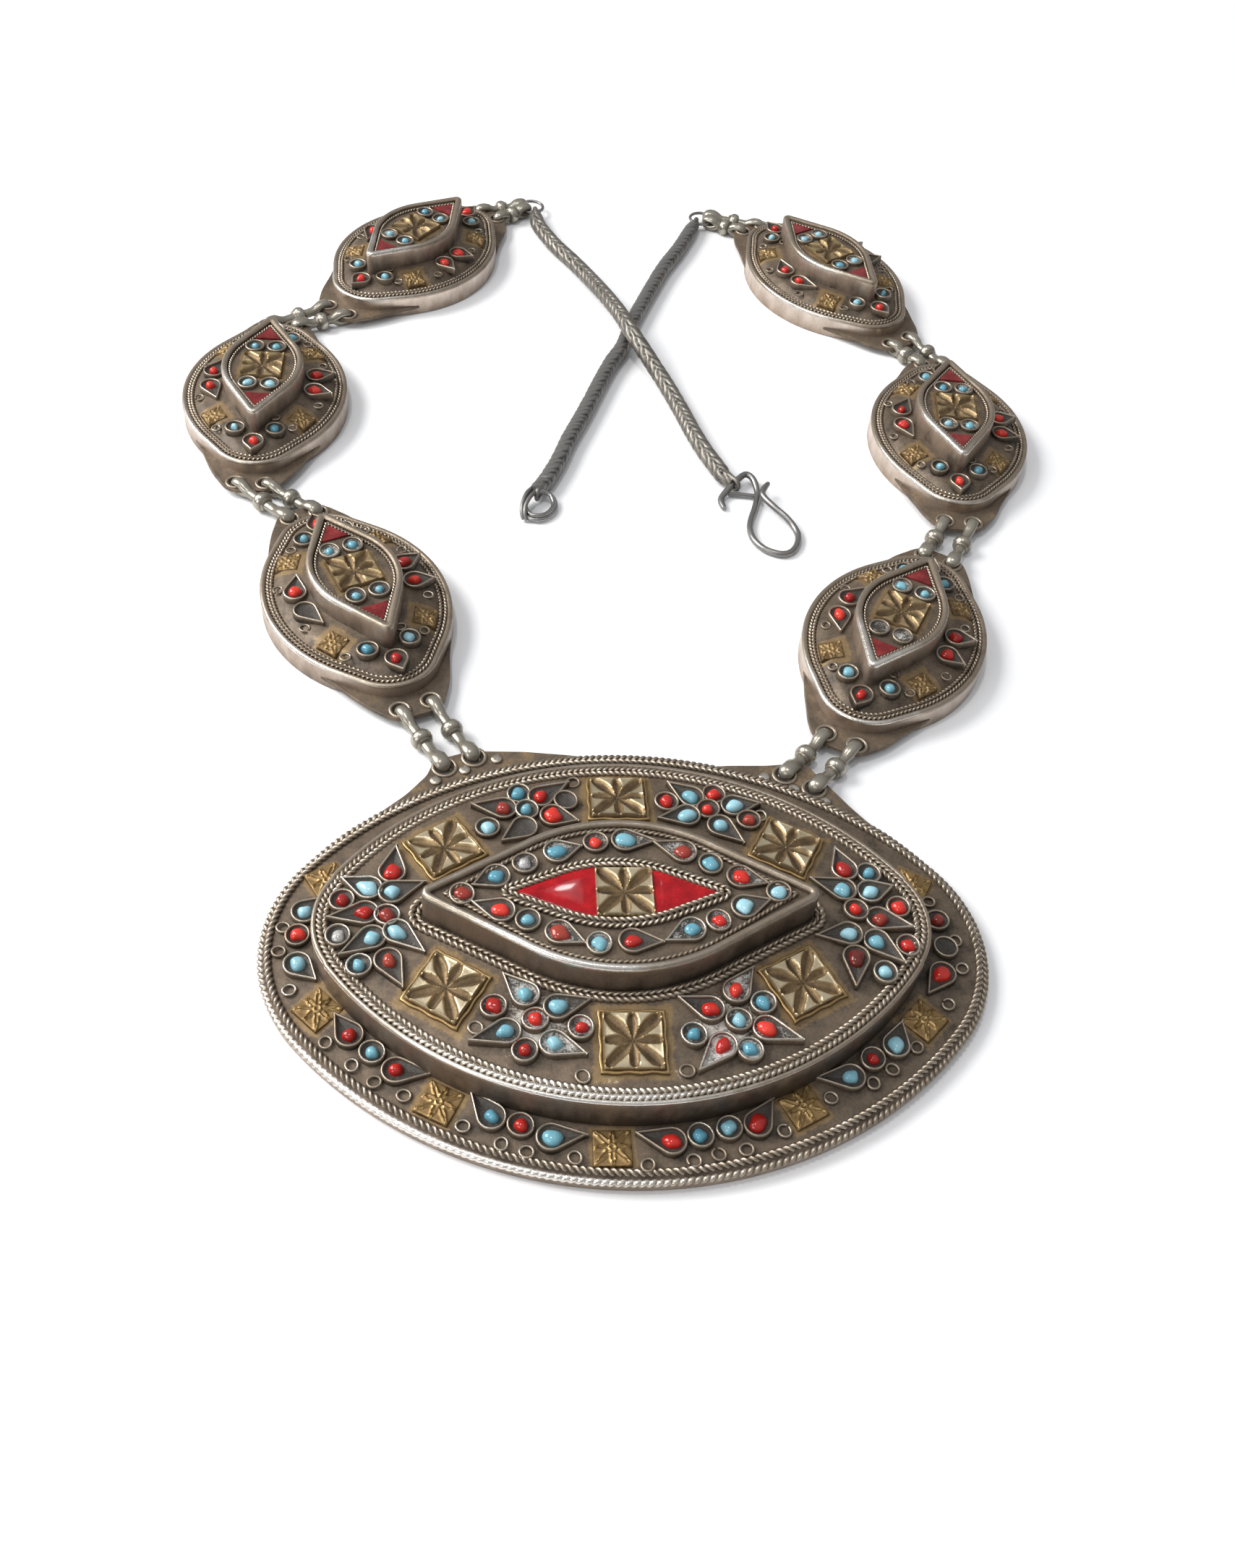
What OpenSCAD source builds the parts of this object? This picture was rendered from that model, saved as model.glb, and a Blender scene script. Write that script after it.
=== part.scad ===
// Silver necklace: a stepped oval pendant, six small stepped plaques joined by wire links,
// and two woven chains that end in a wire hook and an eye. It lies flat on its back on a table.
// Millimetres, +Z up. The pendant's middle is at x 0, y 0 and its back is at z 0.

/* [Pendant] */
// Top of the pendant's lower wall
lower_top = 2.9; // [2:0.1:4]
// Top of the pendant's upper wall
upper_top = 9.9; // [7:0.1:13]
// Top of the raised eye on the pendant
eye_top = 17.2; // [14:0.1:20]
// How far the middle of the upper field bulges above its edge
upper_bulge = 2.7; // [0:0.1:4]

/* [Plaques] */
// Top of a plaque's wall
plaque_top = 5.0; // [4:0.1:8]
// Top of the raised eye on a plaque
plaque_eye_top = 11.8; // [9:0.1:14]
// How far the middle of a plaque's field bulges above its edge
plaque_bulge = 3.0; // [0:0.1:4]

/* [Settings] */
// Outside radius of a round bezel
round_r = 1.85; // [1.5:0.05:2.4]
// Radius of the round end of a drop-shaped bezel
drop_r = 2.0; // [1.5:0.05:2.6]
// Thickness of a bezel's wall
bezel_wall = 0.4; // [0.3:0.05:0.7]
// Height of a bezel above the field it is soldered on
bezel_h = 1.3; // [0.8:0.1:2]
// Side of a large gilt square
gilt_side = 8.4; // [7:0.1:10]

/* [Links and chains] */
// Thickness of the plates that carry the link holes
ear_t = 0.8; // [0.6:0.1:1.2]
// Height of the underside of those plates
ear_z = 1.5; // [1.4:0.1:2]
// Diameter of a link hole
hole_d = 1.9; // [1.7:0.1:2.6]
// Diameter of the link wire
link_wire = 1.2; // [1:0.1:1.3]
// Diameter of the bead in the middle of a link
link_bead = 2.9; // [2.2:0.1:3.4]
// Diameter of the woven chains
chain_d = 3.7; // [3:0.1:5]
// Diameter of the hook's wire
hook_wire = 1.4; // [1:0.1:2]

/* [Output] */
// Name of the one piece to draw, or all

/* [Hidden] */

$fn = 24;
silver = [0.48, 0.45, 0.41];
gold = [0.66, 0.53, 0.32];
turquoise = [0.45, 0.66, 0.74];
coral = [0.78, 0.13, 0.11];
garnet = [0.36, 0.13, 0.11];
red_glass = [0.5, 0.12, 0.12];
gap = 0.05;

// Outlines: half distance of the tip circles, their radius, how far the main arcs' centres
// sink, their radius, and the angle at which one runs into the other
//            tip_x tip_r sink  main_r angle
PENDANT_LOW = [32.5, 26.0, 28.0, 68.9, 40.7];
PENDANT_UP =  [34.3, 14.3, 23.9, 56.3, 34.9];
PENDANT_EYE = [28.9,  1.6, 14.2, 28.5, 57.0];
PLAQUE =      [17.0,  8.5,  4.7, 22.1, 55.0];
PLAQUE_EYE =  [16.0,  1.3,  6.85, 15.35, 58.0];
INNER_EYE =   [16.0,  0.9, 16.3, 22.2, 66.0];
LOW_AT = [2.2, -0.4];
UP_AT = [1.1, 0];

// Where each plaque lies: x, y, and the direction of its long axis towards the pendant
L1 = [-38.0, 201.7, 233.1];
L2 = [-68.3, 143.0, 268.9];
L3 = [-45.3, 78.5, 294.6];
R1 = [62.4, 199.1, 301.7];
R2 = [81.3, 136.2, 264.2];
R3 = [57.5, 70.4, 241.1];

// Kinds of stone in the tables below
E = 0; // empty bezel
T = 1; // turquoise
C = 2; // coral
G = 3; // garnet or dark coral
W = 4; // clear glass

// Stones on the pendant: x, y, kind for a round one, and x, y, tip x, tip y, kind for a drop
EYE_STONES = [
  [-24.4, -0.2, G], [-14.8, 5.7, W], [-3.7, 9.9, C], [14.1, 5.7, T], [24.2, 0.3, T],
  [14.3, -5.1, C], [-4.0, -9.2, T], [-14.5, -5.0, T],
  [-19.2, 3.2, -22.4, 1.6, T], [-9.8, 8.0, -6.4, 9.0, T], [0.9, 10.3, 5.4, 10.2, T],
  [10.0, 8.1, 5.8, 9.8, G], [18.5, 3.2, 22.4, 2.0, C], [18.6, -2.5, 22.4, -1.3, T],
  [10.1, -6.7, 6.4, -8.6, T], [1.0, -8.8, 5.3, -9.0, C], [-9.9, -7.2, -6.4, -9.0, G],
  [-18.5, -3.2, -22.4, -1.9, C]];
LEFT_STONES = [
  [-42.9, 3.1, C], [-35.8, -0.2, G], [-43.1, -3.5, W], [-39.6, -9.0, T],
  [-35.4, 8.2, -35.0, 12.9, C], [-38.9, 5.2, -42.8, 6.9, T], [-35.2, 4.1, -30.6, 6.0, T],
  [-39.2, 0.4, -44.4, -0.4, C], [-37.9, -4.2, -42.2, -7.1, T], [-34.2, -3.3, -30.2, -6.8, T],
  [-35.3, -8.4, -33.1, -12.7, G]];
RIGHT_STONES = [
  [40.9, 8.6, T], [44.7, 2.0, C], [37.6, 1.0, C], [45.0, -5.3, C], [40.5, -10.4, T],
  [37.0, 9.1, 36.1, 13.1, C], [36.1, 4.9, 31.4, 7.0, T], [40.5, 4.8, 44.0, 5.8, T],
  [41.1, -0.5, 46.0, -2.0, G], [35.7, -3.7, 30.9, -4.0, T], [40.0, -4.8, 43.6, -8.6, T],
  [36.2, -8.0, 35.4, -13.0, G]];
TOP_STONES = [
  [-15.4, 24.6, T], [-7.7, 22.9, E], [-14.1, 20.8, T], [-20.5, 16.9, T],
  [-17.9, 21.2, -22.6, 21.9, G], [-11.8, 23.8, -7.6, 26.7, C], [-9.9, 19.4, -6.2, 18.4, C],
  [-14.6, 16.8, -17.9, 14.2, E],
  [9.0, 22.8, C], [15.8, 21.3, C], [17.2, 24.9, C], [22.4, 19.1, G],
  [13.3, 24.1, 9.9, 26.9, T], [12.2, 19.7, 7.8, 19.1, T], [20.2, 22.3, 24.3, 22.8, T],
  [17.4, 17.5, 20.7, 14.3, T]];
BOTTOM_STONES = [
  [-19.6, -16.8, C], [-6.9, -20.5, C], [-15.1, -23.9, C], [-13.5, -19.1, C],
  [-14.9, -15.0, -17.9, -11.7, T], [-10.2, -17.2, -5.5, -15.9, T],
  [-17.7, -20.9, -22.7, -22.3, T], [-10.9, -22.9, -6.6, -24.6, T],
  [20.6, -16.4, T], [16.6, -19.3, T], [9.7, -21.7, T], [17.9, -24.0, T],
  [16.7, -14.5, 19.4, -10.7, C], [12.5, -17.6, 8.2, -15.7, C],
  [20.7, -20.6, 25.6, -22.5, C], [13.9, -23.4, 10.3, -27.2, C]];
EDGE_STONES = [
  [-50.0, 1.0, C], [-37.4, -20.0, T], [-15.6, -32.2, C], [10.4, -34.2, T], [14.7, -33.1, T],
  [37.9, -21.8, C], [53.3, -1.4, E], [52.9, 3.9, G],
  [-49.2, 5.5, -46.4, 8.0, T], [-49.6, -4.4, -46.8, -7.0, T], [-40.9, -17.0, -43.1, -13.7, C],
  [-33.8, -23.1, -28.8, -23.6, C], [-19.8, -30.8, -22.6, -26.9, T],
  [-11.3, -34.2, -6.6, -33.9, T], [6.2, -35.1, 1.4, -33.8, C], [19.0, -32.5, 21.4, -28.8, C],
  [34.1, -24.9, 29.1, -25.0, T], [41.9, -19.5, 43.4, -15.7, T], [51.8, -6.5, 49.0, -9.9, C]];

// Stones on a plaque, along and across it
PLAQUE_ROUND = [[16.5, 4.1, T], [16.5, -4.1, T], [-16.5, 4.1, T], [-16.5, -4.1, T]];
PLAQUE_EYE_ROUND = [[6.7, 2.3, T], [6.7, -2.3, T], [-6.7, 2.3, T], [-6.7, -2.3, T]];
PLAQUE_DROPS = [
  [20.1, 0, 22.9, 0, C], [-20.1, 0, -22.9, 0, C],
  [2.7, 10.8, 3.6, 14.2, C], [-2.7, 10.8, -3.6, 14.2, C],
  [2.7, -10.9, 6.7, -9.2, C], [-2.7, -10.9, -6.7, -9.2, C]];
L3_MISSING = [2.7, -10.9];
R3_MISSING = 6.7;

// Large gilt squares on the upper field: x, y, turn
SQUARES = [[0.9, 23.6, 0], [0.7, -22.6, 0], [-27.3, 12.9, 32], [27.9, 13.4, -28],
  [-26.6, -13.4, -32], [27.1, -12.7, 29]];
// Small gilt squares on the lower field: x, y, turn
SMALL_SQUARES = [[-46.2, 12.0, 30], [-46.0, -12.3, 45], [-27.4, -28.2, -28], [-2.5, -35.8, 0],
  [26.2, -29.6, 28], [47.3, -14.8, 45], [50.0, 11.2, 60]];
// Small wire rings on the lower field: x, y
RINGS = [[-52.4, 2.8], [-50.9, -8.8], [-44.4, -18.6], [-40.3, -22.6], [-23.9, -32.8],
  [-7.6, -38.0], [2.5, -38.5], [22.9, -33.8], [30.6, -29.0], [40.8, -24.0], [45.6, -20.0],
  [51.8, -11.9], [55.4, -4.6], [53.0, 8.0]];

// Link ends: the pendant's holes, and where the top links hold the end rings
EAR_L_HOLES = [[-27.9, 37.6], [-22.8, 40.0]];
EAR_R_HOLES = [[32.0, 36.6], [36.9, 33.4]];
TOP_L_ENDS = [[-11.0, 230.6], [-10.3, 229.0]];
TOP_R_ENDS = [[35.7, 229.1], [35.4, 226.8]];
END_RING_L = [-9.3, 230.2, 2.8];
END_RING_R = [34.4, 228.0, 2.8];
EAR_L = [[-40, 23], [-39.1, 27], [-34.4, 31.4], [-30.9, 35.9], [-29.8, 39.3], [-23.5, 41.6],
  [-12, 41.8], [-4, 41.9], [-4, 36], [-30, 20]];
EAR_R = [[52, 19], [50.8, 20.2], [45.4, 26], [43.2, 28.9], [36, 39.6], [29, 38.9], [18.7, 39],
  [18, 33], [44, 16]];
PLAQUE_EAR = [[9, 15.5], [26, 7.9], [29.8, 5.3], [31.1, 3.2], [31.1, -3.2], [29.8, -5.3], [26, -7.9],
  [9, -15.5]];
EAR_HOLE = [28.6, 3];

// Routes: x, y, z of the middle of each strand
CHAIN_L = [[-8.3, 225.1, 1.9], [-7.5, 220.3, 1.9], [-3.9, 211.9, 1.9], [0.2, 204.8, 1.9],
  [3.9, 196.4, 2.6], [7.2, 186.3, 4.3], [10.1, 176.6, 5.65], [12.5, 168.7, 5.65],
  [15.1, 163.1, 4.5], [17.9, 157.9, 2.8], [20.4, 151.6, 1.95], [22.5, 144, 1.9],
  [24.4, 136.5, 1.9], [26.5, 129.6, 1.9], [29, 123.2, 1.9], [29.6, 121.4, 1.9]];
CHAIN_R = [[31.9, 223.4, 1.9], [27.4, 212.5, 1.9], [22.8, 203, 1.9], [19.3, 194.2, 1.9],
  [16.1, 185.7, 1.9], [13.3, 177.8, 1.9], [10.7, 168.4, 1.9], [7.5, 161.3, 1.9],
  [4.6, 153.5, 1.9], [2, 146, 1.9], [-0.6, 138.9, 1.9], [-3.3, 131.8, 1.9],
  [-5.5, 124.9, 1.9], [-8, 118.7, 1.9], [-9, 116.9, 1.9]];
HOOK = [[29, 112.1, 0.75], [28.6, 115, 0.75], [30, 117.2, 1.3], [31.9, 119.4, 1.9],
  [34.4, 122.2, 1.9], [36.1, 120.9, 1.6], [36.7, 117.2, 0.75], [35.7, 112.8, 0.75],
  [34.3, 108.5, 0.75], [33.8, 105.3, 0.75], [34.3, 102.1, 0.75], [35.9, 99.6, 0.75],
  [37.7, 98.4, 0.75], [39.7, 97.9, 0.75], [41.6, 98.7, 0.75], [43.1, 101, 0.75],
  [43.7, 103.8, 0.8], [43.1, 106.4, 1], [41.6, 108.7, 1.6], [39.5, 111.1, 2.1],
  [37.4, 114.4, 2.4], [37.6, 116.4, 2.5], [38.9, 118.6, 2.5]];
HOOK_BAR = [[30.3, 116.9, 0.75], [33.5, 116.7, 0.75], [36.6, 116.3, 0.75]];
EYE_RING = [[-13.2, 111.1, 1.1], [-12.8, 108.3, 0.9], [-11.4, 107, 0.75], [-9.2, 107.1, 0.75],
  [-7.3, 108.8, 0.75], [-6.4, 111.4, 0.8], [-7.1, 113.7, 1.3], [-8.9, 114.5, 1.9],
  [-10.8, 114, 1.9], [-12.4, 112.9, 1.5]];
// How much thicker the ring's wire is at each of those points, where wire is wound on it
EYE_RING_KNOB = [0.4, 0.15, 0, 0, 0, 0, 0, 0, 0, 0.1];
// Small loops that tie the chains' ends: x, y in the chain, x, y past what it holds
CHAIN_L_LOOPS = [[[-8.2, 224.3], [-8.65, 228.4]], [[29.3, 122.1], [32.5, 117.9]]];
CHAIN_R_LOOPS = [[[31.6, 222.6], [33.2, 226.5]], [[-8.7, 117.5], [-10.45, 112.8]]];

// Points of an outline, moved inwards by t
function outline(o, t) = concat(
  [for (i = [0:7]) let (a = -o[4] + i * o[4] / 4)
    [o[0] + (o[1] - t) * cos(a), (o[1] - t) * sin(a)]],
  [for (i = [0:13]) let (a = o[4] + i * (180 - 2 * o[4]) / 14)
    [(o[3] - t) * cos(a), -o[2] + (o[3] - t) * sin(a)]],
  [for (i = [0:7]) let (a = 180 - o[4] + i * o[4] / 4)
    [-o[0] + (o[1] - t) * cos(a), (o[1] - t) * sin(a)]],
  [for (i = [0:13]) let (a = 180 + o[4] + i * (180 - 2 * o[4]) / 14)
    [(o[3] - t) * cos(a), o[2] + (o[3] - t) * sin(a)]]);

// Points of a drop with its round end at a and its tip towards b, shrunk by w
function drop(a, b, r, w) = let (d = b - a, l = norm(d), k = (r - w) / r,
    dir = atan2(d[1], d[0]), open = acos(r / l))
  concat([a + k * d], [for (i = [0:10]) let (g = dir + open + i * (360 - 2 * open) / 10)
    a + (r - w) * [cos(g), sin(g)]]);

// Height of each field at a point
function upper_z(x, y) = 9.3 + upper_bulge * (1 - pow(x / 48, 2) - pow(y / 32, 2));
function plaque_z(x, y) = 4.8 + plaque_bulge * (1 - pow(x / 25, 2) - pow(y / 17, 2));
lower_z = 3.4;
eye_floor = 16.2;
plaque_eye_floor = 10.7;

// A point of a curve through p1 and p2
function curve(p0, p1, p2, p3, t) = 0.5 * (2 * p1 + (p2 - p0) * t
  + (2 * p0 - 5 * p1 + 4 * p2 - p3) * t * t + (3 * p1 - p0 - 3 * p2 + p3) * t * t * t);
// An open route with k points to each stretch
function smooth_open(p, k) = let (m = len(p) - 1) concat(
  [for (i = [0:m - 1]) for (j = [0:k - 1])
    curve(p[max(i - 1, 0)], p[i], p[i + 1], p[min(i + 2, m)], j / k)], [p[m]]);
// A closed route with k points to each stretch
function smooth_closed(p, k) = let (m = len(p)) [for (i = [0:m - 1]) for (j = [0:k - 1])
  curve(p[(i + m - 1) % m], p[i], p[(i + 1) % m], p[(i + 2) % m], j / k)];

function unit(v) = v / norm(v);
// One ring of n points round the point c, across the direction t
function ring_points(c, t, r, n) = let (s = unit(cross(t, [0, 0, 1])), u = cross(s, t))
  [for (j = [0:n - 1]) c + r * (cos(360 * j / n) * s + sin(360 * j / n) * u)];
function side_faces(i0, i1, n) = [for (j = [0:n - 1]) for (half = [0, 1])
  half == 0 ? [i0 * n + j, i0 * n + (j + 1) % n, i1 * n + (j + 1) % n]
            : [i0 * n + j, i1 * n + (j + 1) % n, i1 * n + j]];

// A round wire along an open route
module wire(path, r, n) {
  m = len(path);
  points = [for (i = [0:m - 1]) each
    ring_points(path[i], unit(path[min(i + 1, m - 1)] - path[max(i - 1, 0)]), r, n)];
  faces = concat([[for (j = [n - 1:-1:0]) j]], [[for (j = [0:n - 1]) (m - 1) * n + j]],
    [for (i = [0:m - 2]) each side_faces(i, i + 1, n)]);
  polyhedron(points = points, faces = faces);
}

// A round wire along a closed route, thicker by extra at each of its points
module wire_loop(path, r, extra, n) {
  m = len(path);
  k = m / len(extra);
  points = [for (i = [0:m - 1]) let (e = extra[floor(i / k)],
      f = extra[(floor(i / k) + 1) % len(extra)], mix = i / k - floor(i / k)) each
    ring_points(path[i], unit(path[(i + 1) % m] - path[(i + m - 1) % m]),
      r + e + (f - e) * mix, n)];
  faces = [for (i = [0:m - 1]) each side_faces(i, (i + 1) % m, n)];
  polyhedron(points = points, faces = faces);
}

module slab(o, t, z0, z1) {
  translate([0, 0, z0]) linear_extrude(height = z1 - z0) polygon(outline(o, t));
}

// A band between two insets of an outline
module band(o, t0, t1, z0, z1) {
  difference() {
    slab(o, t0, z0, z1);
    slab(o, t1, z0 - 1, z1 + 1);
  }
}

// The bulging field inside a wall, as ellipses stacked in height
module bulge(ax, ay, z0, h) {
  hull() {
    for (s = [0.95, 0.84, 0.7, 0.55, 0.38])
      translate([0, 0, z0 + h * (1 - s * s) - 0.02]) linear_extrude(height = 0.02)
        polygon([for (i = [0:31]) [ax * s * cos(i * 11.25), ay * s * sin(i * 11.25)]]);
    translate([0, 0, z0 - 0.6]) linear_extrude(height = 0.02)
      polygon([for (i = [0:31]) [ax * 0.95 * cos(i * 11.25), ay * 0.95 * sin(i * 11.25)]]);
  }
}

// The outside of a row's bezel, from z0 up to z1
module bezel_outside(row, z0, z1) {
  if (len(row) == 3)
    translate([row[0], row[1], z0]) cylinder(r = round_r, h = z1 - z0);
  else
    translate([0, 0, z0]) linear_extrude(height = z1 - z0)
      polygon(drop([row[0], row[1]], [row[2], row[3]], drop_r, 0));
}

// The hollow of a row's bezel, from z0 up
module bezel_inside(row, z0) {
  if (len(row) == 3)
    translate([row[0], row[1], z0]) cylinder(r = round_r - bezel_wall, h = 9);
  else
    translate([0, 0, z0]) linear_extrude(height = 9)
      polygon(drop([row[0], row[1]], [row[2], row[3]], drop_r, bezel_wall));
}

// A stone on its floor at z: a low dome, or a drop-shaped dome
module stone(row, z, high) {
  if (len(row) == 3) {
    r = round_r - bezel_wall - gap;
    translate([row[0], row[1], z]) rotate_extrude() polygon([[0, 0], [r, 0], [r, 0.45 * high],
      [0.9 * r, 0.7 * high], [0.65 * r, 0.88 * high], [0.3 * r, 0.98 * high], [0, high]]);
  } else {
    r = drop_r - bezel_wall - gap;
    d = [row[2] - row[0], row[3] - row[1]];
    l = norm(d) * r / drop_r;
    at = r * r / l;
    low = r - high;
    intersection() {
      translate([row[0], row[1], z - low]) union() {
        sphere(r = r);
        rotate([0, 0, atan2(d[1], d[0])]) translate([at, 0, 0]) rotate([0, 90, 0])
          cylinder(h = l - at - 0.15, r1 = 0.96 * r * sqrt(1 - pow(r / l, 2)), r2 = 0.12);
      }
      translate([row[0] - 9, row[1] - 9, z]) cube([18, 18, 9]);
    }
  }
}

module stones(rows, z, high, kind) {
  for (row = rows)
    if (row[len(row) - 1] == kind) stone(row, z, high);
}

// A gilt plate with a raised flower of eight petals
module flower_plate(side, t, petals) {
  translate([-side / 2, -side / 2, 0]) cube([side, side, t]);
  translate([0, 0, t - 0.25]) cylinder(h = 0.75, r1 = 1.25, r2 = 0.6);
  intersection() {
    for (i = [0:petals - 1])
      rotate([0, 0, i * 360 / petals]) translate([1.4, 0, t - 0.1]) rotate([0, 90, 0])
        cylinder(h = side / 2 - 1.8, r1 = 0.25, r2 = 0.72);
    translate([-side / 2, -side / 2, 0.1]) cube([side, side, 2]);
  }
}

// A small gilt square with a raised middle, soldered to a field
module small_square(side, t) {
  translate([-side / 2, -side / 2, -1.2]) cube([side, side, t + 1.2]);
  translate([0, 0, t - 0.2]) cylinder(h = 0.7, r1 = 1.4, r2 = 0.7);
  for (i = [0:3])
    rotate([0, 0, 45 + 90 * i]) translate([side * 0.42, 0, t - 0.2]) sphere(r = 0.55);
}

// Places a large square flat on the bulging upper field
module on_upper(row) {
  tip = atan2(sqrt(pow(row[0] / 2304, 2) + pow(row[1] / 1024, 2)) * 2 * upper_bulge, 1);
  way = atan2(row[1] / 1024, row[0] / 2304);
  translate([row[0], row[1], upper_z(row[0], row[1])]) rotate([0, 0, way])
    rotate([0, tip, 0]) rotate([0, 0, row[2] - way]) children();
}

module pendant_body() {
  color(silver) difference() {
    union() {
      translate([LOW_AT[0], LOW_AT[1], 0]) {
        slab(PENDANT_LOW, 0.4, 0, lower_top);
        band(PENDANT_LOW, 0, 2.6, lower_top - 0.2, lower_top + 0.6);
        band(PENDANT_LOW, 0.5, 2.1, lower_top + 0.6, lower_top + 1);
      }
      hull() {
        translate([LOW_AT[0], LOW_AT[1], 0]) slab(PENDANT_LOW, 2.5, lower_top - 0.5, lower_top);
        translate([UP_AT[0], UP_AT[1], 0]) slab(PENDANT_UP, 0.3, 3.7, 3.8);
      }
      translate([UP_AT[0], UP_AT[1], 0]) {
        slab(PENDANT_UP, 0, 2, 9.3);
        band(PENDANT_UP, 0, 0.9, 9.2, upper_top);
        band(PENDANT_UP, 0.8, 3.3, 9.2, upper_top + 0.1);
        band(PENDANT_UP, 1.3, 2.8, 9.2, upper_top + 0.5);
      }
      bulge(48, 32, 9.3, upper_bulge);
      slab(PENDANT_EYE, 0, 8, eye_floor);
      band(PENDANT_EYE, 0, 0.9, eye_floor - 0.2, eye_top);
      translate([-0.85, 0.3, 0]) band(INNER_EYE, 0, 0.9, eye_floor - 0.2, eye_floor + 0.8);
      linear_extrude(height = 0.9) intersection() {
        polygon(EAR_L);
        translate([LOW_AT[0], LOW_AT[1]]) polygon(outline(PENDANT_LOW, 0.5));
      }
      translate([0, 0, ear_z]) linear_extrude(height = ear_t) polygon(EAR_L);
      translate([0, 0, ear_z]) linear_extrude(height = ear_t) polygon(EAR_R);
      for (row = EYE_STONES) bezel_outside(row, eye_floor - 0.5, eye_floor + 0.9);
      for (rows = [LEFT_STONES, RIGHT_STONES, TOP_STONES, BOTTOM_STONES]) for (row = rows)
        bezel_outside(row, 8.7, upper_z(row[0], row[1]) + bezel_h);
      for (row = EDGE_STONES) bezel_outside(row, 2, lower_z + bezel_h);
      for (row = SMALL_SQUARES)
        translate([row[0], row[1], lower_z]) rotate([0, 0, row[2]]) small_square(5.6, 0.6);
      for (row = RINGS) translate([row[0], row[1], 2]) cylinder(r = 1.2, h = 2.1);
      for (row = SQUARES) on_upper(row)
        translate([-5, -5, -1.5]) cube([10, 10, 2.4]);
      translate([-4.65, -4.7, eye_floor - 0.5]) cube([10, 10, 1.1]);
    }
    for (row = EYE_STONES) bezel_inside(row, eye_floor);
    for (rows = [LEFT_STONES, RIGHT_STONES, TOP_STONES, BOTTOM_STONES]) for (row = rows)
      bezel_inside(row, upper_z(row[0], row[1]) + 0.3);
    for (row = EDGE_STONES) bezel_inside(row, lower_z + 0.3);
    for (row = RINGS) translate([row[0], row[1], lower_z]) cylinder(r = 0.7, h = 4);
    for (row = SQUARES) on_upper(row)
      translate([-gilt_side / 2 - gap, -gilt_side / 2 - gap, 0.3])
        cube([gilt_side + 2 * gap, gilt_side + 2 * gap, 3]);
    translate([0.35 - gilt_side / 2 - gap, 0.3 - gilt_side / 2 - gap, eye_floor + 0.1])
      cube([gilt_side + 2 * gap, gilt_side + 2 * gap, 3]);
    for (p = concat(EAR_L_HOLES, EAR_R_HOLES))
      translate([p[0], p[1], 0.95]) cylinder(d = hole_d, h = 3);
  }
}

module pendant_stones(kind) {
  stones(EYE_STONES, eye_floor + 0.02, 1.1, kind);
  for (rows = [LEFT_STONES, RIGHT_STONES, TOP_STONES, BOTTOM_STONES]) for (row = rows)
    if (row[len(row) - 1] == kind) stone(row, upper_z(row[0], row[1]) + 0.32, 1.25);
  stones(EDGE_STONES, lower_z + 0.32, 1.25, kind);
}

module pendant_turquoise() { color(turquoise) pendant_stones(T); }
module pendant_coral() { color(coral) pendant_stones(C); }
module pendant_garnet() { color(garnet) pendant_stones(G); }

// Clear stones, and the two red glass leaves of the eye
module pendant_glass() {
  color(red_glass) {
    pendant_stones(W);
    translate([0, 0, eye_floor + 0.02]) linear_extrude(height = 0.5) {
      polygon([[5.5, -3.5], [14.0, 0.25], [5.5, 4.1]]);
      polygon([[-4.8, -3.7], [-4.8, 4.3], [-14.8, 0.3]]);
    }
  }
}

module pendant_gilt() {
  color(gold) {
    for (row = SQUARES) on_upper(row) translate([0, 0, 0.32]) flower_plate(gilt_side, 0.4, 8);
    translate([0.35, 0.3, eye_floor + 0.12]) flower_plate(gilt_side, 0.4, 8);
  }
}

module at_plaque(p) {
  translate([p[0], p[1], 0]) rotate([0, 0, p[2]]) children();
}

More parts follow.
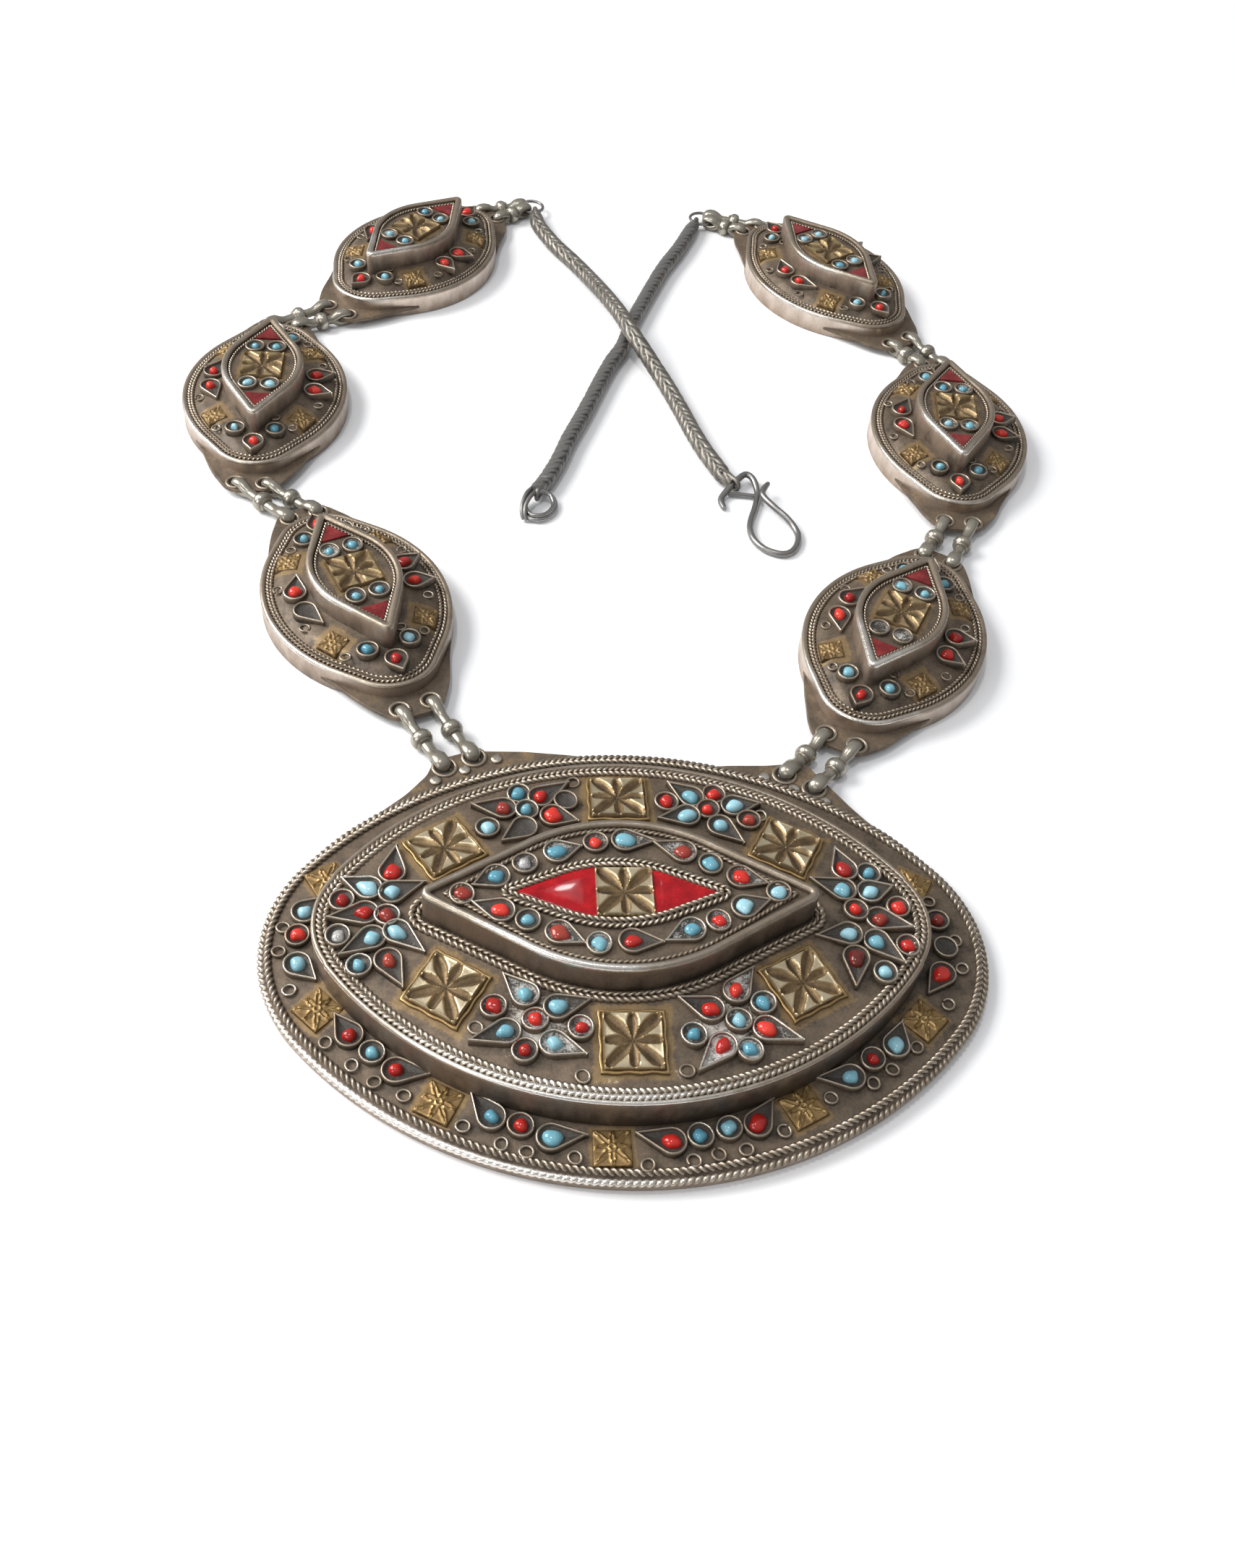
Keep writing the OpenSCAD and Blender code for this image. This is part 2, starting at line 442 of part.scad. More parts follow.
// A plaque's silver box, its bezels empty and its gilt squares soldered on
module plaque_body(p) {
  color(silver) at_plaque(p) difference() {
    union() {
      slab(PLAQUE, 0.15, 0, plaque_top - 0.5);
      band(PLAQUE, 0, 0.8, plaque_top - 0.7, plaque_top);
      band(PLAQUE, 0.7, 2.8, plaque_top - 0.7, plaque_top + 0.1);
      band(PLAQUE, 1.1, 2.4, plaque_top - 0.7, plaque_top + 0.4);
      bulge(25, 17, plaque_top - 0.2, plaque_bulge);
      slab(PLAQUE_EYE, 0, 4, plaque_eye_floor);
      band(PLAQUE_EYE, 0, 0.8, plaque_eye_floor - 0.2, plaque_eye_top);
      for (m = [0, 1]) mirror([m, 0, 0]) translate([0, 0, ear_z])
        linear_extrude(height = ear_t) polygon(PLAQUE_EAR);
      for (row = PLAQUE_ROUND) bezel_outside(row, 4, plaque_z(row[0], row[1]) + bezel_h);
      for (row = PLAQUE_DROPS) bezel_outside(row, 4, plaque_z(row[0], row[1]) + bezel_h);
      for (row = PLAQUE_EYE_ROUND)
        bezel_outside(row, plaque_eye_floor - 0.5, plaque_eye_floor + 0.9);
      for (mx = [0, 1]) for (my = [0, 1]) mirror([mx, 0, 0]) mirror([0, my, 0])
        translate([11.9, 9.0, plaque_z(11.9, 9.0) - 0.2]) rotate([0, 0, -30])
          small_square(5.2, 0.6);
      translate([0, 0, plaque_eye_floor - 0.3]) flower_plate(gilt_side, 0.7, 8);
    }
    for (row = PLAQUE_ROUND) bezel_inside(row, plaque_z(row[0], row[1]) + 0.3);
    for (row = PLAQUE_DROPS) bezel_inside(row, plaque_z(row[0], row[1]) + 0.3);
    for (row = PLAQUE_EYE_ROUND) bezel_inside(row, plaque_eye_floor);
    for (mx = [0, 1]) for (my = [0, 1]) mirror([mx, 0, 0]) mirror([0, my, 0])
      translate([EAR_HOLE[0], EAR_HOLE[1], 0.9]) cylinder(d = hole_d, h = 3);
  }
}

module plaque_turquoise(p, missing) {
  color(turquoise) at_plaque(p) {
    for (row = PLAQUE_ROUND) stone(row, plaque_z(row[0], row[1]) + 0.32, 1.25);
    for (row = PLAQUE_EYE_ROUND)
      if (row[0] != missing) stone(row, plaque_eye_floor + 0.02, 1.1);
  }
}

module plaque_coral(p, missing) {
  color(coral) at_plaque(p) for (row = PLAQUE_DROPS)
    if (row[0] != missing[0] || row[1] != missing[1])
      stone(row, plaque_z(row[0], row[1]) + 0.32, 1.25);
}

// The red glass leaves at both ends of a plaque's eye
module plaque_glass(p) {
  color(red_glass) at_plaque(p) for (m = [0, 1]) mirror([m, 0, 0])
    translate([0, 0, plaque_eye_floor + 0.02]) linear_extrude(height = 0.5)
      polygon([[9.3, -2.2], [13.6, -0.2], [13.6, 0.2], [9.3, 2.2]]);
}

module plaque_l1_body() { plaque_body(L1); }
module plaque_l2_body() { plaque_body(L2); }
module plaque_l3_body() { plaque_body(L3); }
module plaque_r1_body() { plaque_body(R1); }
module plaque_r2_body() { plaque_body(R2); }
module plaque_r3_body() { plaque_body(R3); }
module plaque_l1_turquoise() { plaque_turquoise(L1, 0); }
module plaque_l2_turquoise() { plaque_turquoise(L2, 0); }
module plaque_l3_turquoise() { plaque_turquoise(L3, 0); }
module plaque_r1_turquoise() { plaque_turquoise(R1, 0); }
module plaque_r2_turquoise() { plaque_turquoise(R2, 0); }
module plaque_r3_turquoise() { plaque_turquoise(R3, R3_MISSING); }
module plaque_l1_coral() { plaque_coral(L1, [0, 0]); }
module plaque_l2_coral() { plaque_coral(L2, [0, 0]); }
module plaque_l3_coral() { plaque_coral(L3, L3_MISSING); }
module plaque_r1_coral() { plaque_coral(R1, [0, 0]); }
module plaque_r2_coral() { plaque_coral(R2, [0, 0]); }
module plaque_r3_coral() { plaque_coral(R3, [0, 0]); }
module plaque_l1_glass() { plaque_glass(L1); }
module plaque_l2_glass() { plaque_glass(L2); }
module plaque_l3_glass() { plaque_glass(L3); }
module plaque_r1_glass() { plaque_glass(R1); }
module plaque_r2_glass() { plaque_glass(R2); }
module plaque_r3_glass() { plaque_glass(R3); }

// The place of a plaque's link hole: end +1 is the one towards the pendant
function plaque_hole(p, end, side) = [
  p[0] + end * EAR_HOLE[0] * cos(p[2]) - side * EAR_HOLE[1] * sin(p[2]),
  p[1] + end * EAR_HOLE[0] * sin(p[2]) + side * EAR_HOLE[1] * cos(p[2])];

// A link: one long wire loop through two holes, with a bead soldered round its middle
module link(a, b) {
  color(silver) {
    upright_loop(a, b, ear_t / 2 + link_wire / 2 + 0.15, link_wire / 2, 8, 6);
    translate([(a[0] + b[0]) / 2, (a[1] + b[1]) / 2, ear_z + ear_t / 2])
      sphere(d = link_bead);
  }
}

// A long wire loop that stands upright between a and b, its strands apart by twice rise
module upright_loop(a, b, rise, r, k, n) {
  d = b - a;
  half = norm(d) / 2 - rise;
  path = concat([for (i = [0:k]) let (g = 90 - i * 180 / k)
      [half + rise * cos(g), 0, rise * sin(g)]],
    [for (i = [0:k]) let (g = 270 - i * 180 / k)
      [-half + rise * cos(g), 0, rise * sin(g)]]);
  m = len(path);
  points = [for (i = [0:m - 1]) each
    let (t = unit(path[(i + 1) % m] - path[(i + m - 1) % m]), s = [0, 1, 0], u = cross(s, t))
    [for (j = [0:n - 1]) path[i] + r * (cos(360 * j / n) * s + sin(360 * j / n) * u)]];
  faces = [for (i = [0:m - 1]) each side_faces(i, (i + 1) % m, n)];
  translate([(a[0] + b[0]) / 2, (a[1] + b[1]) / 2, ear_z + ear_t / 2])
    rotate([0, 0, atan2(d[1], d[0])]) polyhedron(points = points, faces = faces);
}

module link_l1_a() { link(plaque_hole(L1, -1, 1), TOP_L_ENDS[1]); }
module link_l1_b() { link(plaque_hole(L1, -1, -1), TOP_L_ENDS[0]); }
module link_l2_a() { link(plaque_hole(L1, 1, 1), plaque_hole(L2, -1, 1)); }
module link_l2_b() { link(plaque_hole(L1, 1, -1), plaque_hole(L2, -1, -1)); }
module link_l3_a() { link(plaque_hole(L2, 1, 1), plaque_hole(L3, -1, 1)); }
module link_l3_b() { link(plaque_hole(L2, 1, -1), plaque_hole(L3, -1, -1)); }
module link_l4_a() { link(plaque_hole(L3, 1, 1), EAR_L_HOLES[1]); }
module link_l4_b() { link(plaque_hole(L3, 1, -1), EAR_L_HOLES[0]); }
module link_r1_a() { link(plaque_hole(R1, -1, 1), TOP_R_ENDS[0]); }
module link_r1_b() { link(plaque_hole(R1, -1, -1), TOP_R_ENDS[1]); }
module link_r2_a() { link(plaque_hole(R1, 1, 1), plaque_hole(R2, -1, 1)); }
module link_r2_b() { link(plaque_hole(R1, 1, -1), plaque_hole(R2, -1, -1)); }
module link_r3_a() { link(plaque_hole(R2, 1, 1), plaque_hole(R3, -1, 1)); }
module link_r3_b() { link(plaque_hole(R2, 1, -1), plaque_hole(R3, -1, -1)); }
module link_r4_a() { link(plaque_hole(R3, 1, 1), EAR_R_HOLES[1]); }
module link_r4_b() { link(plaque_hole(R3, 1, -1), EAR_R_HOLES[0]); }

// The ring that ties a chain to the two top links
module end_ring(ring) {
  color(silver) translate([ring[0], ring[1], ear_z + ear_t / 2])
    rotate_extrude() translate([ring[2], 0]) circle(d = 0.8, $fn = 8);
}
module end_ring_left() { end_ring(END_RING_L); }
module end_ring_right() { end_ring(END_RING_R); }

// A woven chain as one round tube, with a small loop at each end
module chain(route, loops) {
  color(silver) {
    wire(smooth_open(route, 3), chain_d / 2, 10);
    for (l = loops) upright_loop(l[0], l[1], 1.2, 0.35, 6, 6);
  }
}
module chain_left() { chain(CHAIN_L, CHAIN_L_LOOPS); }
module chain_right() { chain(CHAIN_R, CHAIN_R_LOOPS); }

// The bent wire hook, with a short bar soldered across its eye
module hook() {
  color(silver) {
    wire(smooth_open(HOOK, 2), hook_wire / 2, 8);
    wire(HOOK_BAR, 0.5, 6);
  }
}

// The ring at the end of the right chain, thicker where wire is wound on it
module eye_ring() {
  color(silver) wire_loop(smooth_closed(EYE_RING, 2), 0.65, EYE_RING_KNOB, 8);
}

pendant_body();
pendant_turquoise();
pendant_coral();
pendant_garnet();
pendant_glass();
pendant_gilt();
plaque_l1_body();
plaque_l2_body();
plaque_l3_body();
plaque_r1_body();
plaque_r2_body();
plaque_r3_body();
plaque_l1_turquoise();
plaque_l2_turquoise();
plaque_l3_turquoise();
plaque_r1_turquoise();
plaque_r2_turquoise();
plaque_r3_turquoise();
plaque_l1_coral();
plaque_l2_coral();
plaque_l3_coral();
plaque_r1_coral();
plaque_r2_coral();
plaque_r3_coral();
plaque_l1_glass();
plaque_l2_glass();
plaque_l3_glass();
plaque_r1_glass();
plaque_r2_glass();
plaque_r3_glass();
link_l1_a();
link_l1_b();
link_l2_a();
link_l2_b();
link_l3_a();
link_l3_b();
link_l4_a();
link_l4_b();
link_r1_a();
link_r1_b();
link_r2_a();
link_r2_b();
link_r3_a();
link_r3_b();
link_r4_a();
link_r4_b();
end_ring_left();
end_ring_right();
chain_left();
chain_right();
hook();
eye_ring();
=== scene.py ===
# Looks of the silver necklace: finer walls, ropes, bezels, stones, gilt squares, links and woven
# chains, in the places of the plain solids. Their sizes are in millimetres, and turn into metres
# where a piece is built. u and v are a plaque's own axes, along and across it.
import math

import bpy
import numpy as np
from mathutils import Matrix, Vector


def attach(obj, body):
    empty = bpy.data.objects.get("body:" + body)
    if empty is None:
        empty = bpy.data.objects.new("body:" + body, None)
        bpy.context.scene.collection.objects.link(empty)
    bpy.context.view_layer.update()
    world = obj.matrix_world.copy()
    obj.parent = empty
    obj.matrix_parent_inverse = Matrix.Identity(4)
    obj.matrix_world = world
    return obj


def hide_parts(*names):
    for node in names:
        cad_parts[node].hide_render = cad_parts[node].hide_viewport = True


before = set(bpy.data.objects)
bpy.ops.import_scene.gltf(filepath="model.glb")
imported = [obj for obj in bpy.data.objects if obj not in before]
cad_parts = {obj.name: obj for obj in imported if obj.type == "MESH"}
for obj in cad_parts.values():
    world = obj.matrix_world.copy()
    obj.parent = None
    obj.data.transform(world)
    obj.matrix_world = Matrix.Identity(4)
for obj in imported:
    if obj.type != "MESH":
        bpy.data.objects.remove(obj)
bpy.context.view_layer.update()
MM = 0.001
rng = np.random.RandomState(11)


def new_object(name, data):
    obj = bpy.data.objects.new(name, data)
    bpy.context.scene.collection.objects.link(obj)
    return obj


# Camera

CAMERA_AT = (-22.603, -137.612, 202.475)
CAMERA_RIGHT = (0.99559, -0.05408, 0.07670)
CAMERA_UP = (-0.00888, 0.75931, 0.65066)
CAMERA_BACK = (-0.09342, -0.64847, 0.75548)
SENSOR_WIDTH = 36
LENS = 34.88


def camera():
    cam = new_object("camera", bpy.data.cameras.new("camera"))
    cam.data.sensor_width = SENSOR_WIDTH
    cam.data.lens = LENS
    cam.data.clip_start = 0.01
    cam.data.clip_end = 20
    axes = Matrix((CAMERA_RIGHT, CAMERA_UP, CAMERA_BACK)).transposed()
    cam.matrix_world = Matrix.Translation(Vector(CAMERA_AT) * MM) @ axes.to_4x4()
    bpy.context.scene.camera = cam


camera()

# Tables

# Outlines: half distance of the tip circles, their radius, how far the main arcs' centres
# sink, their radius, and the angle at which one runs into the other
PENDANT_LOW = (32.5, 26.0, 28.0, 68.9, 40.7)
PENDANT_UP = (34.3, 14.3, 23.9, 56.3, 34.9)
PENDANT_EYE = (28.9, 1.6, 14.2, 28.5, 57.0)
PLAQUE = (16.1, 9.4, 10.0, 27.4, 50.0)
PLAQUE_EYE = (16.0, 1.3, 6.85, 15.35, 58.0)
INNER_EYE = (16.0, 0.9, 16.3, 22.2, 66.0)
# Where the pendant's lower box, its upper box and the ropes inside its eye have their middles
LOW_AT = (2.2, -0.4)
UP_AT = (1.1, 0.0)
INNER_AT = (-0.85, 0.3)

# Where each plaque lies: x, y, and the direction of its long axis towards the pendant
PLAQUES = {
    "l1": (-38.0, 201.7, 233.1),
    "l2": (-68.3, 143.0, 268.9),
    "l3": (-45.3, 78.5, 294.6),
    "r1": (62.4, 199.1, 301.7),
    "r2": (81.3, 136.2, 264.2),
    "r3": (57.5, 70.4, 241.1),
}

# Stones: x, y, kind for a round one, and x, y, tip x, tip y, kind for a drop.
# E is an empty bezel, T turquoise, C coral, G dark red, W clear
EYE_STONES = [
    (-24.4, -0.2, "G"), (-14.8, 5.7, "W"), (-3.7, 9.9, "C"), (14.1, 5.7, "T"),
    (24.2, 0.3, "T"), (14.3, -5.1, "C"), (-4.0, -9.2, "T"), (-14.5, -5.0, "T"),
    (-19.2, 3.2, -22.4, 1.6, "T"), (-9.8, 8.0, -6.4, 9.0, "T"), (0.9, 10.3, 5.4, 10.2, "T"),
    (10.0, 8.1, 5.8, 9.8, "G"), (18.5, 3.2, 22.4, 2.0, "C"), (18.6, -2.5, 22.4, -1.3, "T"),
    (10.1, -6.7, 6.4, -8.6, "T"), (1.0, -8.8, 5.3, -9.0, "C"), (-9.9, -7.2, -6.4, -9.0, "G"),
    (-18.5, -3.2, -22.4, -1.9, "C"),
]
LEFT_STONES = [
    (-42.9, 3.1, "C"), (-35.8, -0.2, "G"), (-43.1, -3.5, "W"), (-39.6, -9.0, "T"),
    (-35.4, 8.2, -35.0, 12.9, "C"), (-38.9, 5.2, -42.8, 6.9, "T"),
    (-35.2, 4.1, -30.6, 6.0, "T"), (-39.2, 0.4, -44.4, -0.4, "C"),
    (-37.9, -4.2, -42.2, -7.1, "T"), (-34.2, -3.3, -30.2, -6.8, "T"),
    (-35.3, -8.4, -33.1, -12.7, "G"),
]
RIGHT_STONES = [
    (40.9, 8.6, "T"), (44.7, 2.0, "C"), (37.6, 1.0, "C"), (45.0, -5.3, "C"), (40.5, -10.4, "T"),
    (37.0, 9.1, 36.1, 13.1, "C"), (36.1, 4.9, 31.4, 7.0, "T"), (40.5, 4.8, 44.0, 5.8, "T"),
    (41.1, -0.5, 46.0, -2.0, "G"), (35.7, -3.7, 30.9, -4.0, "T"),
    (40.0, -4.8, 43.6, -8.6, "T"), (36.2, -8.0, 35.4, -13.0, "G"),
]
TOP_STONES = [
    (-15.4, 24.6, "T"), (-7.7, 22.9, "E"), (-14.1, 20.8, "T"), (-20.5, 16.9, "T"),
    (-17.9, 21.2, -22.6, 21.9, "G"), (-11.8, 23.8, -7.6, 26.7, "C"),
    (-9.9, 19.4, -6.2, 18.4, "C"), (-14.6, 16.8, -17.9, 14.2, "E"),
    (9.0, 22.8, "C"), (15.8, 21.3, "C"), (17.2, 24.9, "C"), (22.4, 19.1, "G"),
    (13.3, 24.1, 9.9, 26.9, "T"), (12.2, 19.7, 7.8, 19.1, "T"), (20.2, 22.3, 24.3, 22.8, "T"),
    (17.4, 17.5, 20.7, 14.3, "T"),
]
BOTTOM_STONES = [
    (-19.6, -16.8, "C"), (-6.9, -20.5, "C"), (-15.1, -23.9, "C"), (-13.5, -19.1, "C"),
    (-14.9, -15.0, -17.9, -11.7, "T"), (-10.2, -17.2, -5.5, -15.9, "T"),
    (-17.7, -20.9, -22.7, -22.3, "T"), (-10.9, -22.9, -6.6, -24.6, "T"),
    (20.6, -16.4, "T"), (16.6, -19.3, "T"), (9.7, -21.7, "T"), (17.9, -24.0, "T"),
    (16.7, -14.5, 19.4, -10.7, "C"), (12.5, -17.6, 8.2, -15.7, "C"),
    (20.7, -20.6, 25.6, -22.5, "C"), (13.9, -23.4, 10.3, -27.2, "C"),
]
EDGE_STONES = [
    (-50.0, 1.0, "C"), (-37.4, -20.0, "T"), (-15.6, -32.2, "C"), (10.4, -34.2, "T"),
    (14.7, -33.1, "T"), (37.9, -21.8, "C"), (53.3, -1.4, "E"), (52.9, 3.9, "G"),
    (-49.2, 5.5, -46.4, 8.0, "T"), (-49.6, -4.4, -46.8, -7.0, "T"),
    (-40.9, -17.0, -43.1, -13.7, "C"), (-33.8, -23.1, -28.8, -23.6, "C"),
    (-19.8, -30.8, -22.6, -26.9, "T"), (-11.3, -34.2, -6.6, -33.9, "T"),
    (6.2, -35.1, 1.4, -33.8, "C"), (19.0, -32.5, 21.4, -28.8, "C"),
    (34.1, -24.9, 29.1, -25.0, "T"), (41.9, -19.5, 43.4, -15.7, "T"),
    (51.8, -6.5, 49.0, -9.9, "C"),
]
# Stones on a plaque, along and across it
PLAQUE_STONES = [
    (16.5, 4.1, "T"), (16.5, -4.1, "T"), (-16.5, 4.1, "T"), (-16.5, -4.1, "T"),
    (20.1, 0, 22.9, 0, "C"), (-20.1, 0, -22.9, 0, "C"),
    (2.7, 10.8, 3.6, 14.2, "C"), (-2.7, 10.8, -3.6, 14.2, "C"),
    (2.7, -10.9, 6.7, -9.2, "C"), (-2.7, -10.9, -6.7, -9.2, "C"),
]
PLAQUE_EYE_STONES = [(6.7, 2.3, "T"), (6.7, -2.3, "T"), (-6.7, 2.3, "T"), (-6.7, -2.3, "T")]
# Stones that some plaques have lost
MISSING = {"l3": [(2.7, -10.9)], "r3": [(6.7, 2.3), (6.7, -2.3)]}

# Large gilt squares on the upper field, and small ones on the lower field: x, y, turn
SQUARES = [(0.9, 23.6, 0), (0.7, -22.6, 0), (-27.3, 12.9, 32), (27.9, 13.4, -28),
           (-26.6, -13.4, -32), (27.1, -12.7, 29)]
SMALL_SQUARES = [(-46.2, 12.0, 30), (-46.0, -12.3, 45), (-27.4, -28.2, -28), (-2.5, -35.8, 0),
                 (26.2, -29.6, 28), (47.3, -14.8, 45), (50.0, 11.2, 60)]
PLAQUE_SQUARES = [(sx * 11.9, sy * 9.0, -30 * sx * sy) for sx in (1, -1) for sy in (1, -1)]
# Small wire rings: x, y
LOW_RINGS = [
    (-52.4, 2.8), (-52.7, -1.7), (-50.5, -8.8), (-44.4, -18.0), (-40.3, -21.9), (-36.9, -24.7),
    (-32.5, -27.0), (-23.9, -32.0), (-18.4, -34.9), (-14.8, -36.2), (-7.9, -37.2), (2.5, -38.5),
    (9.2, -37.9), (12.9, -37.0), (17.0, -36.3), (22.9, -33.4), (30.6, -28.1), (37.5, -25.7),
    (40.8, -23.4), (45.3, -19.6), (51.8, -11.9), (55.4, 0.2), (55.4, -5.2), (52.4, 8.0),
]
UP_RINGS = [(-6.3, 27.7), (24.6, 20.6), (-22.2, -19.9), (-6.8, -27.8), (8.4, -27.1)]
PLAQUE_RINGS = [
    (12.9, 3.2), (-12.9, -3.2), (7.0, 12.2), (-7.2, 12.0), (5.9, -12.6), (-6.0, -12.9),
    (15.2, 7.6), (-15.4, 7.5), (15.6, -7.7), (-15.2, -7.6),
]

# Plates that carry the link holes, and their holes
EAR_L = [(-40, 23), (-39.1, 27), (-34.4, 31.4), (-30.9, 35.9), (-29.8, 39.3), (-23.5, 41.6),
         (-14, 41.6), (-6, 40.9), (-1, 40.1), (-2, 36), (-30, 20)]
EAR_R = [(52, 19), (50.8, 20.2), (45.4, 26), (43.2, 28.9), (36, 39.6), (29, 38.9), (22, 38.8),
         (16, 38.2), (15, 33), (44, 16)]
EAR_L_HOLES = [(-27.9, 37.6), (-22.8, 40.0)]
EAR_R_HOLES = [(32.0, 36.6), (36.9, 33.4)]
EAR_DOTS = [(-29.4, 34.5), (-24.4, 37.0), (-18.9, 39.6), (28.3, 36.0), (33.3, 33.4), (38.5, 30.5)]
PLAQUE_EAR = [(9, 15.5), (26, 7.9), (29.8, 5.3), (31.1, 3.2), (31.1, -3.2), (29.8, -5.3),
              (26, -7.9), (9, -15.5)]
EAR_HOLE = (28.6, 3.0)
# Lower side and thickness of all these plates, and the radius of a link hole
EAR_Z = 1.5
EAR_T = 0.8
HOLE = 1.15
EAR_TOP = EAR_Z + EAR_T
MID_Z = EAR_Z + EAR_T / 2
# Where the pairs of links end, at the top and on the pendant
TOP_ENDS = {"l": [(-10.3, 229.0), (-11.0, 230.6)], "r": [(35.7, 229.1), (35.4, 226.8)]}
EAR_ENDS = {"l": EAR_L_HOLES[::-1], "r": EAR_R_HOLES[::-1]}
# The rings at the top of the chains: x, y, radius
END_RINGS = {"left": (-9.3, 230.2, 2.8), "right": (34.4, 228.0, 2.8)}

# Routes: x, y, z of the middle of each strand
CHAIN_L = [
    (-8.3, 225.1, 1.9), (-7.5, 220.3, 1.9), (-3.9, 211.9, 1.9), (0.2, 204.8, 1.9),
    (3.9, 196.4, 2.6), (7.2, 186.3, 4.3), (10.1, 176.6, 5.65), (12.5, 168.7, 5.65),
    (15.1, 163.1, 4.5), (17.9, 157.9, 2.8), (20.4, 151.6, 1.95), (22.5, 144, 1.9),
    (24.4, 136.5, 1.9), (26.5, 129.6, 1.9), (29, 123.2, 1.9), (29.6, 121.4, 1.9),
]
CHAIN_R = [
    (31.9, 223.4, 1.9), (27.4, 212.5, 1.9), (22.8, 203, 1.9), (19.3, 194.2, 1.9),
    (16.1, 185.7, 1.9), (13.3, 177.8, 1.9), (10.7, 168.4, 1.9), (7.5, 161.3, 1.9),
    (4.6, 153.5, 1.9), (2, 146, 1.9), (-0.6, 138.9, 1.9), (-3.3, 131.8, 1.9),
    (-5.5, 124.9, 1.9), (-8, 118.7, 1.9), (-9, 116.9, 1.9),
]
# The wire loops at the chains' ends: where each one starts and ends in plan
CHAIN_L_LOOPS = [((-8.2, 224.3), (-8.65, 228.4)), ((29.3, 122.1), (32.5, 117.9))]
CHAIN_R_LOOPS = [((31.6, 222.6), (33.2, 226.5)), ((-8.7, 117.5), (-10.45, 112.8))]
HOOK = [
    (29, 112.1, 0.75), (28.6, 115, 0.75), (30, 117.2, 1.3), (31.9, 119.4, 1.9),
    (34.4, 122.2, 1.9), (36.1, 120.9, 1.6), (36.7, 117.2, 0.75), (35.7, 112.8, 0.75),
    (34.3, 108.5, 0.75), (33.8, 105.3, 0.75), (34.3, 102.1, 0.75), (35.9, 99.6, 0.75),
    (37.7, 98.4, 0.75), (39.7, 97.9, 0.75), (41.6, 98.7, 0.75), (43.1, 101, 0.75),
    (43.7, 103.8, 0.8), (43.1, 106.4, 1), (41.6, 108.7, 1.6), (39.5, 111.1, 2.1),
    (37.4, 114.4, 2.4), (37.6, 116.4, 2.5), (38.9, 118.6, 2.5),
]
HOOK_BAR = [(30.3, 116.9, 0.75), (33.5, 116.7, 0.75), (36.6, 116.3, 0.75)]
EYE_RING = [
    (-13.2, 111.1, 1.1), (-12.8, 108.3, 0.9), (-11.4, 107, 0.75), (-9.2, 107.1, 0.75),
    (-7.3, 108.8, 0.75), (-6.4, 111.4, 0.8), (-7.1, 113.7, 1.3), (-8.9, 114.5, 1.9),
    (-10.8, 114, 1.9), (-12.4, 112.9, 1.5),
]
# The two strands that hang from the right chain over the eye ring
CHAIN_TAILS = [
    [(-11.1, 115.3, 2.4), (-12.5, 112.6, 3.0), (-13.4, 109.8, 2.5), (-13.5, 107.9, 1.6),
     (-13.1, 107.1, 0.6)],
    [(-9.9, 114.6, 2.4), (-11.6, 111.8, 3.0), (-12.7, 109.4, 2.5), (-12.9, 107.6, 1.6),
     (-12.5, 106.9, 0.6)],
]

# Walls and rims of the boxes: inset from the outline, height, tone: wear on the rims, and most walls
# darker towards the bottom
LOW_WALL = [(0.7, 0.0, 0.25), (0.5, 0.12, 0.4), (0.42, 0.9, 0.42), (0.45, 2.0, 0.3),
            (1.3, 3.0, 0.05), (2.6, 3.1, 0.05)]
UPPER_WALL = [(0.0, 3.4, 0.0), (0.02, 5.5, 0.1), (0.0, 8.0, 0.18), (0.0, 9.3, 0.32),
              (0.2, 9.4, 0.38), (0.6, 9.35, 0.05), (2.9, 9.35, 0.05)]
EYE_WALL = [(0.05, 9.6, 0.02), (0.03, 12.5, 0.16), (0.0, 15.4, 0.28), (0.0, 16.3, 0.42)]
EYE_RIM = [(0.0, 16.25, 0.38), (0.02, 16.6, 0.42), (0.14, 16.93, 0.46), (0.38, 17.14, 0.5),
           (0.7, 17.2, 0.5), (1.02, 17.12, 0.48), (1.26, 16.92, 0.4), (1.38, 16.6, 0.2),
           (1.4, 16.1, 0.0)]
PLAQUE_WALL = [(0.35, 0.0, 0.15), (0.05, 0.2, 0.28), (0.05, 2.2, 0.48), (0.1, 3.9, 0.62),
               (0.08, 4.3, 0.6)]
PLAQUE_RIM = [(0.08, 4.25, 0.4), (0.03, 4.5, 0.42), (0.1, 4.76, 0.46), (0.3, 4.94, 0.46),
              (0.58, 5.0, 0.44), (0.88, 4.95, 0.4), (1.08, 4.8, 0.25), (1.16, 4.5, 0.05),
              (2.7, 4.5, 0.0)]
PLAQUE_EYE_WALL = [(0.05, 5.0, 0.0), (0.03, 8.0, 0.14), (0.0, 10.2, 0.27), (0.0, 11.0, 0.42)]
PLAQUE_EYE_RIM = [(0.0, 10.95, 0.38), (0.03, 11.3, 0.42), (0.16, 11.6, 0.46), (0.42, 11.77, 0.5),
                  (0.75, 11.8, 0.5), (1.08, 11.72, 0.44), (1.28, 11.5, 0.25), (1.34, 10.6, 0.0)]
# Painted shade: how much darker the walls of some plaques are
WALL_SHADE = {"l2": -0.12, "l3": -0.15}
# Heights of the pendant's lower field and of the floors in the raised eyes
LOWER_Z = 3.4
EYE_FLOOR = 16.2
PLAQUE_EYE_FLOOR = 10.7

